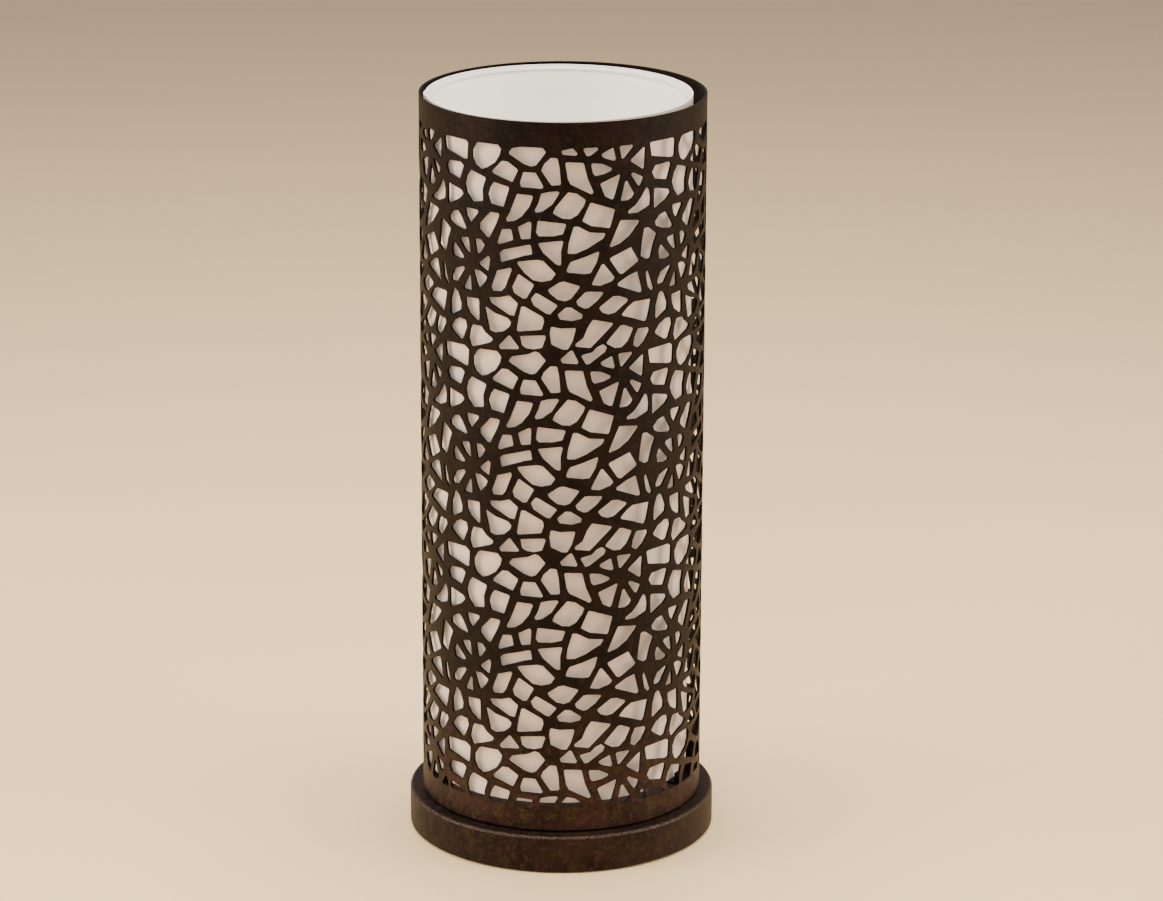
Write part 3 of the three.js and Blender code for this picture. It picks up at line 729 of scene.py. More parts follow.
def shade_tree():
    """Geometry nodes for the shade. The sheet is laid out as a flat ring, scaled so that
    shapes keep their angles, which lets the pattern close on itself; the ring is then filled
    round its openings and rolled up into the cylinder."""
    graph, given = new_tree(
        "Cut-out shade", "Radius", "Foot", "Top", "Lower line", "Upper line", "Lead", "Row height",
        "Start", "Corner radius", "Screw height", "Screw hole", "Around#", "Rows#")
    radius = given["Radius"]

    # One repeat's outlines, set out round the shade and down its height.
    outlines = graph.add("GeometryNodeMeshToCurve", None, [given["Geometry"]])
    step_round = radius * (2 * math.pi) / given["Around"]
    column = graph.row(given["Rows"], graph.vector(0, given["Row height"] * -1))
    grid = graph.copied(graph.row(given["Around"], graph.vector(step_round)), column)
    grid = graph.add("GeometryNodeMeshToPoints", None, [grid])
    pattern = graph.copied(grid, outlines)
    place = graph.add("GeometryNodeInputPosition")
    across, down, _ = graph.parts(place)
    pattern = graph.moved(pattern, graph.vector(
        across - given["Start"], given["Upper line"] + given["Lead"] + down))
    pattern = cut_at_bands(graph, pattern, place, given["Lower line"], given["Upper line"])
    pattern = graph.add("GeometryNodeFilletCurve", {"mode": "POLY"},
                        {"Curve": pattern, "Count": 3, "Radius": given["Corner radius"],
                         "Limit Radius": True})

    # Holes for the three screws that hold the shade on its collar.
    hole = graph.add("GeometryNodeCurvePrimitiveCircle", None,
                     {"Resolution": 24, "Radius": given["Screw hole"]})
    first = radius * (SHADE_SCREW_ANGLES[0] + math.pi / 2)
    apart = radius * (SHADE_SCREW_ANGLES[1] - SHADE_SCREW_ANGLES[0])
    holes = graph.row(len(SHADE_SCREW_ANGLES), graph.vector(apart),
                      graph.vector(first, given["Screw height"]))
    holes = graph.copied(holes, hole)

    # The sheet's two long edges.
    def edge_line(level):
        line = graph.add("GeometryNodeCurvePrimitiveLine", None, {
            "Start": graph.vector(radius * -math.pi, level),
            "End": graph.vector(radius * math.pi, level)})
        line = graph.add("GeometryNodeResampleCurve", {"mode": "COUNT"},
                         {"Curve": line, "Count": EDGE_POINTS + 1})
        ends = graph.add("GeometryNodeCurveEndpointSelection", None,
                         {"Start Size": 0, "End Size": 1})
        return graph.add("GeometryNodeSetSplineCyclic", None,
                         {"Geometry": graph.without(line, ends), "Cyclic": True})

    joined = graph.node("GeometryNodeJoinGeometry")
    for part in (pattern, holes, edge_line(given["Foot"]), edge_line(given["Top"])):
        graph.tree.links.new(part.socket, joined.inputs[0])
    flat = Link(graph, joined.outputs[0])

    # To the flat ring, filled there, and back onto the cylinder.
    across, up, _ = graph.parts(place)
    angle = across / radius
    reach = (up / radius).math("EXPONENT")
    flat = graph.moved(flat, graph.vector(
        reach * angle.math("SINE"), reach * angle.math("COSINE")))
    sheet = graph.add("GeometryNodeFillCurve", {"mode": "TRIANGLES"}, [flat])
    x, y, _ = graph.parts(place)
    turn = x.math("ARCTAN2", y)
    level = (x * x + y * y).math("SQRT").math("LOGARITHM", math.e) * radius
    sheet = graph.moved(sheet, graph.vector(
        radius * turn.math("SINE"), radius * turn.math("COSINE") * -1, level))
    return ended(graph, sheet, given["Material"])


def applied(carrier, tree, values):
    """Runs a geometry nodes tree on an object and returns the result as a plain mesh."""
    modifier = carrier.modifiers.new("nodes", "NODES")
    modifier.node_group = tree
    for item in tree.interface.items_tree:
        if item.in_out == "INPUT" and item.name in values:
            modifier[item.identifier] = values[item.name]
    graph = bpy.context.evaluated_depsgraph_get()
    mesh = bpy.data.meshes.new_from_object(carrier.evaluated_get(graph), depsgraph=graph)
    carrier.modifiers.remove(modifier)
    bpy.data.objects.remove(carrier)
    return mesh


def make_shade():
    """The cut-out shade: laid out, cut and rolled up by geometry nodes, then thickened."""
    sizes = bpy.context.scene.lamp_shade
    carrier = new_object("shade_carrier", openings_mesh(sizes.around, sizes.ease))
    top_line = SHADE_HIGH.z - sizes.top_band
    low_line = SHADE_LOW.z + sizes.bottom_band
    mesh = applied(carrier, shade_tree(), {
        "Radius": SHADE_RADIUS, "Foot": SHADE_LOW.z, "Top": SHADE_HIGH.z, "Lower line": low_line,
        "Upper line": top_line, "Lead": sizes.lead, "Row height": sizes.row_height,
        "Start": stretch(sizes.around) * sizes.start, "Corner radius": sizes.corner,
        "Around": sizes.around, "Rows": math.ceil((top_line - low_line) / sizes.row_height) + 1,
        "Screw height": SHADE_SCREW.z, "Screw hole": sizes.screw_hole,
        "Material": finish("bronze")})
    shape = opened(mesh)
    bmesh.ops.remove_doubles(shape, verts=shape.verts, dist=0.02 * MM)
    outward = sum(face.normal.dot(face.calc_center_median().normalized()) for face in shape.faces)
    if outward < 0:
        bmesh.ops.reverse_faces(shape, faces=shape.faces)
    stored(shape, mesh).materials.clear()
    shade = new_object("cut_out_shade", mesh, "bronze", "bronze_inside")
    thick = shade.modifiers.new("wall", "SOLIDIFY")
    thick.thickness = sizes.wall
    thick.offset = -1
    thick.use_even_offset = False
    # The inner faces and cut edges take the darker bronze copy, painted as shade.
    thick.material_offset = 1
    thick.material_offset_rim = 1
    mesh = evaluated(shade)
    shade.data = mesh
    for face in mesh.polygons:
        face.use_smooth = True
    return settle(shade, ROOT, "bronze", "outer_shade")


# ---- Turned and drilled pieces ---------------------------------------------------------

def evaluated(piece):
    """A plain mesh of an object with its modifiers applied; the modifiers are removed."""
    graph = bpy.context.evaluated_depsgraph_get()
    mesh = bpy.data.meshes.new_from_object(piece.evaluated_get(graph), depsgraph=graph)
    piece.modifiers.clear()
    return mesh


def combine(piece, cutters, operation="DIFFERENCE"):
    """Cuts the cutter meshes out of a piece, or joins them to it."""
    for mesh in cutters:
        cutter = new_object("cutter", mesh)
        step = piece.modifiers.new("cut", "BOOLEAN")
        step.operation = operation
        step.solver = "EXACT"
        step.object = cutter
    piece.data = evaluated(piece)
    for item in [o for o in bpy.data.objects if o.name.startswith("cutter")]:
        bpy.data.objects.remove(item)
    return piece


def rod(radius, bottom, top, steps=32, to=None):
    """A plain round cutter along Z, moved to its place by a matrix."""
    mesh = turned("rod", block(0, radius, bottom, top), steps)
    if to:
        mesh.transform(to)
    return mesh


def upright(radius, angle):
    """Places a piece at a radius and an angle from +X, its axis upright."""
    return Matrix.Translation((radius * math.cos(angle), radius * math.sin(angle), 0))


def pointing(angle, height):
    """Turns a piece's axis to point outwards at an angle from +X, at a height."""
    turn = Matrix.Rotation(angle, 4, "Z") @ Matrix.Rotation(math.pi / 2, 4, "Y")
    return Matrix.Translation((0, 0, height)) @ turn


def thread(pitch, depth, low, high, run_out=1.5):
    """A relief for a turned wall between two heights: a rounded screw thread that fades at
    its ends."""
    def relief(radius, height, angle):
        fade = min(1, (height - low) / (run_out * pitch), (high - height) / (run_out * pitch))
        wave = 0.5 - 0.5 * math.cos(2 * math.pi * (height / pitch - angle / (2 * math.pi)))
        return radius - depth * max(0, fade) * wave
    return relief


def ribbing(count, depth, low, high):
    """A relief for a turned wall between two heights: rounded upright grooves."""
    def relief(radius, height, angle):
        held = low < height < high
        return radius - depth * (0.5 - 0.5 * math.cos(angle * count)) * held
    return relief


def stepped(radius, low, high, pitch, per_turn=6):
    """Profile points up a wall, close enough together for a thread."""
    count = max(2, round((high - low) / pitch * per_turn))
    return [(radius, low + (high - low) * i / count) for i in range(count + 1)]


def shape_wall(mesh, relief, wall):
    """Models a turned mesh's wall at one radius by a relief."""
    for vertex in mesh.vertices:
        radius = math.hypot(vertex.co.x, vertex.co.y)
        if abs(radius - wall) < TINY:
            angle = math.atan2(vertex.co.y, vertex.co.x) % (2 * math.pi)
            share = relief(radius, vertex.co.z, angle) / radius
            vertex.co.x *= share
            vertex.co.y *= share


def shaped(name, profile, relief, wall, steps):
    """A turned mesh with a relief on its wall at one radius."""
    mesh = turned(name, profile, steps)
    shape_wall(mesh, relief, wall)
    return mesh


def hexagonal(mesh, across):
    """Cuts six flats on a turned blank."""
    shape = opened(mesh)
    for side in range(6):
        normal = Vector((math.cos(math.pi / 3 * side), math.sin(math.pi / 3 * side), 0))
        everything = shape.verts[:] + shape.edges[:] + shape.faces[:]
        made = bmesh.ops.bisect_plane(shape, geom=everything, plane_co=normal * across / 2,
                                      plane_no=normal, clear_outer=True)
        rim = [item for item in made["geom_cut"] if isinstance(item, bmesh.types.BMEdge)]
        bmesh.ops.edgeloop_fill(shape, edges=rim)
    bmesh.ops.recalc_face_normals(shape, faces=shape.faces)
    return stored(shape, mesh)


def hex_nut(name, bore, across, bottom, top):
    corner = across / math.sqrt(3)
    chamfer = corner - across / 2
    slope = chamfer * 0.6
    blank = turned(name, [
        (bore + 0.4 * MM, bottom), (corner - chamfer, bottom), (corner, bottom + slope),
        (corner, top - slope), (corner - chamfer, top), (bore + 0.4 * MM, top),
        (bore, top - 0.4 * MM), (bore, bottom + 0.4 * MM)], 72)
    return hexagonal(blank, across)


def set_round(name, mesh, angles, material, body, slot, *nodes):
    """Repeats a piece round the lamp's axis, at even angles, with geometry nodes."""
    graph, given = new_tree("Set round the axis", "Count#", "First angle", "Step")
    line = graph.row(given["Count"], (0, 0, 0))
    number = graph.add("GeometryNodeInputIndex")
    turn = graph.vector(0, 0, given["First angle"] + number * given["Step"])
    placed = graph.add("GeometryNodeInstanceOnPoints", None,
                       {"Points": line, "Instance": given["Geometry"], "Rotation": turn})
    tree = ended(graph, placed, given["Material"])
    step = angles[1] - angles[0] if len(angles) > 1 else 0.0
    carrier = new_object("carrier", mesh)
    made = applied(carrier, tree, {
        "Count": len(angles), "First angle": angles[0], "Step": step,
        "Material": finish(material)})
    for face in made.polygons:
        face.use_smooth = True
    made.materials.clear()
    piece = new_object(name, made, material)
    return settle(piece, body, slot, *nodes) if body else piece


# ---- Base ------------------------------------------------------------------------------

def three_angles(first, step):
    return [math.radians(first + step * i) for i in range(3)]


COVER_LOW, COVER_HIGH, _ = node_box("bottom_cover")
WEIGHT_LOW, WEIGHT_HIGH, _ = node_box("base_weight")
FELT_LOW, FELT_HIGH, _ = node_box("felt_pad")
BUSH_LOW, BUSH_HIGH, BUSH_MIDDLE = node_box("cord_bush")
COLLAR_LOW, COLLAR_HIGH, _ = node_box("shade_collar")
COLLAR_ANGLES = three_angles(30, 120)
SHADE_SCREW_ANGLES = three_angles(20, 70)
_, _, COLLAR_SCREW = node_box("collar_screw_1")
COLLAR_PITCH = math.hypot(COLLAR_SCREW.x, COLLAR_SCREW.y)
_, _, SHADE_SCREW = node_box("shade_screw_2")
COLLAR_HOLE = 2.3 * MM
SHADE_HOLE = 1.8 * MM
COLLAR_WALL = 1.2 * MM
SCREW_PITCH = 3.6 * MM
RING_BORE = 20.1 * MM
CORD_HOLE = 5 * MM


def collar_holes(bottom, top):
    return [rod(COLLAR_HOLE, bottom, top, 32, upright(COLLAR_PITCH, angle))
            for angle in COLLAR_ANGLES]


def make_base():
    """The pan with its rounded upper edge, the iron weight inside, the cover and the felt."""
    sizes = bpy.context.scene.lamp_base
    inside = BASE_RADIUS - sizes.wall
    ceiling = BASE_HIGH.z - sizes.wall
    profile = rounded([
        (inside, BASE_LOW.z, 0.3 * MM), (BASE_RADIUS, BASE_LOW.z, sizes.foot),
        (BASE_RADIUS, BASE_HIGH.z, sizes.edge), (sizes.tube_hole, BASE_HIGH.z, 0.3 * MM),
        (sizes.tube_hole, ceiling, 0.3 * MM), (inside, ceiling, 1 * MM)], 0, 6)
    pan = new_object("base_pan", turned("base_pan", profile, 192), "bronze_base")
    cord = rod(CORD_HOLE, inside - 4 * MM, BASE_RADIUS + 4 * MM, 40,
               pointing(math.pi / 2, BUSH_MIDDLE.z))
    combine(pan, [cord] + collar_holes(ceiling - 2 * MM, BASE_HIGH.z + 2 * MM))
    settle(pan, ROOT, "bronze", "base_shell")

    recess = 13 * MM
    outside = WEIGHT_HIGH.y
    recess_top = WEIGHT_LOW.z + 6 * MM
    profile = rounded([
        (recess, WEIGHT_LOW.z), (outside, WEIGHT_LOW.z), (outside, WEIGHT_HIGH.z),
        (sizes.tube_hole, WEIGHT_HIGH.z, 0.2 * MM), (sizes.tube_hole, recess_top, 0.2 * MM),
        (recess, recess_top, 0.5 * MM)], 1.2 * MM)
    weight = new_object("weight", turned("weight", profile, 128), "iron")
    groove = rod(CORD_HOLE - 0.3 * MM, 0, outside + 4 * MM, 32,
                 pointing(math.pi / 2, BUSH_MIDDLE.z))
    combine(weight, [groove] + collar_holes(WEIGHT_LOW.z + 2 * MM, WEIGHT_HIGH.z + 2 * MM))
    settle(weight, ROOT, "iron", "base_weight")

    for name, low, high, slot, node in (
            ("under_cover", COVER_LOW, COVER_HIGH, "fibreboard", "bottom_cover"),
            ("felt_disc", FELT_LOW, FELT_HIGH, "felt", "felt_pad")):
        profile = rounded(block(0, high.x, low.z, high.z), 0.4 * MM)
        turned_piece(name, profile, 160, slot, ROOT, node)


def make_cord_bush():
    """The bush that lines the cord's hole in the back of the pan."""
    bore, neck = 3.2 * MM, CORD_HOLE - 0.3 * MM
    flange_end = BUSH_LOW.y + 1.2 * MM
    profile = rounded([
        (bore, BUSH_LOW.y, 0.5 * MM), (BUSH_HIGH.x, BUSH_LOW.y), (BUSH_HIGH.x, flange_end),
        (neck, flange_end, 0.1 * MM), (neck, BUSH_HIGH.y), (bore, BUSH_HIGH.y, 0.7 * MM)],
        0.3 * MM)
    mesh = turned("cord_bush_ring", profile, 64)
    mesh.transform(pointing(math.pi / 2, BUSH_MIDDLE.z))
    finished("cord_bush_ring", mesh, "black_plastic", ROOT, "cord_bush")


def make_collar():
    """The collar that locates the shade on the pan."""
    wall, flange = COLLAR_WALL, 8 * MM
    radius = COLLAR_HIGH.x
    inside = radius - wall
    profile = rounded([
        (inside - flange, COLLAR_LOW.z), (radius, COLLAR_LOW.z, 1.4 * MM),
        (radius, COLLAR_HIGH.z), (inside, COLLAR_HIGH.z),
        (inside, COLLAR_LOW.z + wall, 0.6 * MM), (inside - flange, COLLAR_LOW.z + wall)],
        0.25 * MM, 4)
    # The collar takes the darker bronze copy, painted as shade.
    collar = new_object("collar_ring", turned("collar_ring", profile, 160), "bronze_inside")
    holes = [rod(SHADE_HOLE, inside - 4 * MM, radius + 4 * MM, 24,
                 pointing(angle, SHADE_SCREW.z)) for angle in SHADE_SCREW_ANGLES]
    combine(collar, holes + collar_holes(COLLAR_LOW.z - 2 * MM, COLLAR_LOW.z + 4 * MM))
    settle(collar, ROOT, "bronze", "shade_collar")


# ---- Screws and nuts -------------------------------------------------------------------

def pan_head_screw(name, shank, head, head_low, head_high, tip, pitch):
    """A cross-slotted pan-head screw along Z, its head at the top, its tip at the bottom."""
    low = tip + 0.6 * MM
    profile = [(0, tip), (shank * 0.65, tip)] + stepped(shank, low, head_low, pitch, 5)
    profile += [(head - 0.15 * MM, head_low), (head, head_low + 0.15 * MM),
                (head, head_low + (head_high - head_low) * 0.35),
                (head * 0.88, head_low + (head_high - head_low) * 0.78),
                (head * 0.6, head_high - 0.06 * MM), (0, head_high)]
    relief = thread(pitch, pitch * 0.5, low, head_low, 0.6)
    mesh = shaped(name, profile, relief, shank, 24)
    blades = []
    for turn in (0, math.pi / 2):
        blade = bmesh.new()
        bmesh.ops.create_cube(blade, size=1)
        for vertex in blade.verts:
            narrow = 1.0 if vertex.co.z > 0 else 0.45
            vertex.co.x *= head * 1.1 * narrow
            vertex.co.y *= head * 0.26
            vertex.co.z *= (head_high - head_low) * 1.2
            vertex.co.z += head_high
        blade.transform(Matrix.Rotation(turn, 4, "Z"))
        blades.append(stored(blade, "blade"))
    screw = combine(new_object("screw", mesh), blades)
    mesh = screw.data
    bpy.data.objects.remove(screw)
    return mesh


def three_nodes(name):
    return [f"{name}_{number}" for number in (1, 2, 3)]


def make_fasteners():
    """Three screws for the collar, and three screws with nuts for the shade."""
    low, high, _ = node_box("collar_screw_1")
    head = (high.x - low.x) / 2
    flange_top = COLLAR_LOW.z + COLLAR_WALL
    screw = pan_head_screw("collar_screws", 2 * MM, head, flange_top + 0.1 * MM, high.z, low.z,
                           0.7 * MM)
    screw.transform(Matrix.Translation((COLLAR_PITCH, 0, 0)))
    set_round("collar_screws", screw, COLLAR_ANGLES, "steel", ROOT, "steel",
              *three_nodes("collar_screw"))

    low, high, _ = node_box("shade_screw_2")
    screw = pan_head_screw("shade_screws", 1.5 * MM, 3 * MM, high.y - 1.4 * MM, high.y, low.y,
                           0.5 * MM)
    screw.transform(pointing(0, SHADE_SCREW.z))
    set_round("shade_screws", screw, SHADE_SCREW_ANGLES, "bronze", ROOT, "bronze",
              *three_nodes("shade_screw"))

    low, high, _ = node_box("shade_nut_2")
    nut = hex_nut("shade_nuts", SHADE_HOLE, 5.5 * MM, low.y, high.y)
    nut.transform(pointing(0, SHADE_SCREW.z))
    set_round("shade_nuts", nut, SHADE_SCREW_ANGLES, "steel", ROOT, "steel",
              *three_nodes("shade_nut"))


# ---- Tube and lampholder ---------------------------------------------------------------

def make_tube():
    """The threaded tube, its washers and its nuts."""
    low, high, _ = node_box("threaded_tube")
    radius, bore, pitch = high.x, 3.5 * MM, 1 * MM
    profile = [(bore, low.z)] + stepped(radius, low.z, high.z, pitch) + [(bore, high.z)]
    mesh = shaped("centre_tube", profile, thread(pitch, 0.45 * MM, low.z, high.z, 0.5), radius, 48)
    finished("centre_tube", mesh, "steel", ROOT, "threaded_tube")
    hole = radius + 0.3 * MM
    for side in ("upper", "lower"):
        low, high, _ = node_box(f"{side}_washer")
        profile = rounded(block(hole, high.x, low.z, high.z), 0.3 * MM)
        name = f"{side}_flat_washer"
        turned_piece(name, profile, 64, "steel", ROOT, f"{side}_washer")
        low, high, _ = node_box(f"{side}_nut")
        name = f"{side}_hex_nut"
        nut = hex_nut(name, hole, 17 * MM, low.z, high.z)
        nut.transform(Matrix.Rotation(math.pi / 6, 4, "Z"))
        finished(name, nut, "steel", ROOT, f"{side}_nut")


def make_lampholder():
    """The lampholder: domed cap, threaded body, ceramic insulator, contact and screw shell."""
    low, high, _ = node_box("lampholder_cap")
    hole, radius, inner = 5.3 * MM, high.x, high.x - 2 * MM
    profile = rounded([
        (hole, low.z, 0.4 * MM), (9 * MM, low.z, 0.8 * MM),
        (radius - 3 * MM, low.z + 8 * MM, 3 * MM), (radius, low.z + 12 * MM, 3 * MM),
        (radius, high.z, 0.5 * MM), (inner, high.z, 0.3 * MM),
        (inner, low.z + 13 * MM, 2 * MM), (inner - 3 * MM, low.z + 10 * MM, 2 * MM),
        (hole, low.z + 6 * MM, 0.4 * MM)], 0, 5)
    mesh = turned("holder_cap", profile, 192)
    grip_low, grip_high = low.z + 13.5 * MM, high.z - 1.5 * MM
    shape = opened(mesh)
    for height in (grip_low, grip_low + 1 * MM, grip_high - 1 * MM, grip_high):
        everything = shape.verts[:] + shape.edges[:] + shape.faces[:]
        bmesh.ops.bisect_plane(shape, geom=everything, plane_co=(0, 0, height),
                               plane_no=(0, 0, 1))
    mesh = stored(shape, mesh)
    shape_wall(mesh, ribbing(48, 0.5 * MM, grip_low + 0.5 * MM, grip_high - 0.5 * MM), radius)
    finished("holder_cap", mesh, "black_plastic", ROOT, "lampholder_cap")

    low, high, _ = node_box("lampholder_body")
    bore, flange, radius = 15 * MM, high.x, high.x - 4 * MM
    flange_top = low.z + 5 * MM
    profile = rounded([
        (bore, low.z, 0.3 * MM), (radius + 1 * MM, low.z, 0.5 * MM),
        (flange, low.z + 2 * MM, 0.8 * MM), (flange, flange_top, 0.6 * MM),
        (radius + 0.4 * MM, flange_top, 0), (radius, flange_top + 0.4 * MM, 0)], 0, 3)
    profile += stepped(radius, flange_top + 0.8 * MM, high.z - 0.4 * MM, 3 * MM, 8)
    profile += [(radius - 0.4 * MM, high.z), (bore, high.z)]
    relief = thread(3 * MM, 0.8 * MM, flange_top + 0.8 * MM, high.z - 0.4 * MM, 0.8)
    mesh = shaped("holder_body", profile, relief, radius, 128)
    finished("holder_body", mesh, "black_plastic", ROOT, "lampholder_body")

    low, high, _ = node_box("lampholder_insulator")
    profile = rounded([(0, low.z), (high.x, low.z), (high.x, high.z), (5 * MM, high.z),
                       (4.6 * MM, high.z - 0.6 * MM), (0, high.z - 0.6 * MM)], 0.6 * MM)
    turned_piece("holder_insulator", profile, 96, "ceramic", ROOT, "lampholder_insulator")

    low, high, _ = node_box("centre_contact")
    profile = rounded([(0, low.z), (high.x, low.z), (high.x, high.z - 1.2 * MM),
                       (1.4 * MM, high.z), (0, high.z)], 0.5 * MM)
    turned_piece("holder_contact", profile, 48, "brass", ROOT, "centre_contact")

    low, high, _ = node_box("screw_shell")
    radius, inner, pitch = high.x, high.x - 0.6 * MM, SCREW_PITCH
    profile = stepped(radius, low.z, high.z, pitch, 10)
    profile += [(inner, height) for _, height in reversed(profile)]
    relief = thread(pitch, -0.4 * MM, low.z, high.z, 0.6)
    mesh = turned("holder_screw_shell", profile, 96)
    for wall in (radius, inner):
        shape_wall(mesh, relief, wall)
    finished("holder_screw_shell", mesh, "brass", ROOT, "screw_shell")


# ---- Gallery and clamp ring ------------------------------------------------------------

def smooth_path(points, rounds=3):
    """Cuts a path's corners again and again, which rounds its bends."""
    for _ in range(rounds):
        made = [points[0]]
        for first, second in zip(points, points[1:]):
            a, b = Vector(first), Vector(second)
            made += [tuple(a.lerp(b, 0.25)), tuple(a.lerp(b, 0.75))]
        points = made + [points[-1]]
    return points


def strip(path, thickness, width):
    """A flat bar bent along a path in the XZ plane, its width along Y."""
    shape = bmesh.new()
    rings = []
    for index, (x, z) in enumerate(path):
        before = path[max(index - 1, 0)]
        after = path[min(index + 1, len(path) - 1)]
        along = Vector((after[0] - before[0], after[1] - before[1])).normalized()
        side = Vector((-along.y, along.x)) * thickness / 2
        ring = [shape.verts.new((x + side.x * up, half * width / 2, z + side.y * up))
                for up, half in ((1, -1), (1, 1), (-1, 1), (-1, -1))]
        rings.append(ring)
    for first, second in zip(rings, rings[1:]):
        for i in range(4):
            shape.faces.new((first[i], first[i - 1], second[i - 1], second[i]))
    shape.faces.new(rings[0])
    shape.faces.new(rings[-1])
    bmesh.ops.recalc_face_normals(shape, faces=shape.faces)
    return stored(shape, "strip")


def make_gallery():
    """The gallery: a seat ring on the lampholder and three bent arms that carry the liner."""
    _, high, _ = node_box("gallery")
    _, ring_high, _ = node_box("clamp_ring")
    thickness, width = 1.5 * MM, 8 * MM
    seat, hub = RING_BORE, ring_high.x - 1 * MM
    level = high.z - thickness / 2
    foot = LINER_LOW.z - 0.3 * MM - thickness / 2
    tip = high.y - 0.5 * MM
    path = smooth_path([
        (seat + 2 * MM, level), (seat + 10 * MM, level), (seat + 16 * MM, level - 5 * MM),
        (LINER_RADIUS - 14 * MM, foot + 5 * MM), (LINER_RADIUS - 7 * MM, foot),
        (tip - 2 * MM, foot), (tip, foot), (tip, foot + 2 * MM), (tip, LINER_LOW.z + 5 * MM)])
    arm = strip(path, 1.2 * MM, width)
    # The arms and seat ring take the darker bronze copy, painted as shade.
    arms = set_round("arms", arm, three_angles(90, 120),
                     "bronze_inside", None, None)
    profile = rounded(block(seat, hub, high.z - thickness, high.z), 0.3 * MM)
    gallery = new_object("liner_gallery", turned("liner_gallery", profile, 96),
                         "bronze_inside")
    combine(gallery, [arms.data], "UNION")
    bpy.data.objects.remove(arms)
    settle(gallery, ROOT, "bronze", "gallery")


def make_clamp_ring():
    """The ribbed ring that screws down on the gallery."""
    low, high, _ = node_box("clamp_ring")
    bore, radius, ribs = RING_BORE, high.x, 40
    profile = rounded([
        (bore, low.z), (radius - 0.6 * MM, low.z), (radius, low.z + 0.8 * MM, 0)], 0.4 * MM)
    profile += [(radius, low.z + 1.6 * MM), (radius, high.z - 1.6 * MM)]
    profile += rounded([(radius, high.z - 0.8 * MM, 0), (radius - 0.6 * MM, high.z),
                        (bore, high.z)], 0.4 * MM)
    relief = ribbing(ribs, 0.9 * MM, low.z + 1.2 * MM, high.z - 1.2 * MM)
    mesh = shaped("ribbed_clamp_ring", profile, relief, radius, ribs * 6)
    finished("ribbed_clamp_ring", mesh, "black_plastic", RING, "clamp_ring")


# ---- Liner -----------------------------------------------------------------------------

def make_liner():
    """The fabric liner: one sheet rolled into a tube and glued at a lap at the side, with a
    wire ring inside each end."""
    sizes = bpy.context.scene.lamp_liner
    radius = LINER_RADIUS - sizes.wall / 2
    round_length = 2 * math.pi * radius
    width = round_length + sizes.lap
    height = LINER_HIGH.z - LINER_LOW.z
    columns, rows = 200, 46
    shape = bmesh.new()
    sheet = shape.loops.layers.uv.new("sheet")
    grid = []
    for column in range(columns + 1):
        along = width * column / columns
        over = min(1, max(0, (along - round_length + 4 * MM) / (4 * MM)))
        size = radius + (sizes.wall + 0.05 * MM) * over
        angle = math.pi + along / radius
        line = []
        for row in range(rows + 1):
            up = height * row / rows
            ends = math.sin(math.pi * row / rows)
            wander = 0.22 * MM * ends * (math.sin(3 * angle + 9 * up) + 0.6 * math.sin(
                5 * angle - 17 * up + 1)) * (1 - over) * min(1, along / (30 * MM))
            line.append(shape.verts.new((
                LINER_MIDDLE.x + (size + wander) * math.cos(angle),
                LINER_MIDDLE.y + (size + wander) * math.sin(angle), LINER_LOW.z + up)))
        grid.append(line)
    for column in range(columns):
        for row in range(rows):
            corners = ((column, row), (column + 1, row), (column + 1, row + 1), (column, row + 1))
            face = shape.faces.new([grid[c][r] for c, r in corners])
            face.smooth = True
            for loop, (c, r) in zip(face.loops, corners):
                loop[sheet].uv = (width * c / columns, height * r / rows)
    liner = new_object("fabric_liner", stored(shape, "fabric_liner"), "liner_fabric",
                       "liner_inside")
    thick = liner.modifiers.new("wall", "SOLIDIFY")
    thick.thickness = sizes.wall
    thick.offset = 0
    thick.material_offset = 1
    liner.data = evaluated(liner)

    for side in ("lower", "upper"):
        low, high, middle = node_box(f"liner_{side}_wire")
        wire = (high.z - low.z) / 2
        path = high.y - wire
        profile = [(path + wire * math.cos(math.pi / 8 * i), middle.z + wire * math.sin(
            math.pi / 8 * i)) for i in range(16)]
        name = f"{side}_ring_wire"
        mesh = turned(name, profile, 160, (middle.x, middle.y))
        finished(name, mesh, "white_plastic", LINER, f"liner_{side}_wire")
    settle(liner, LINER, "liner_fabric", "liner")


# ---- Bulb ------------------------------------------------------------------------------

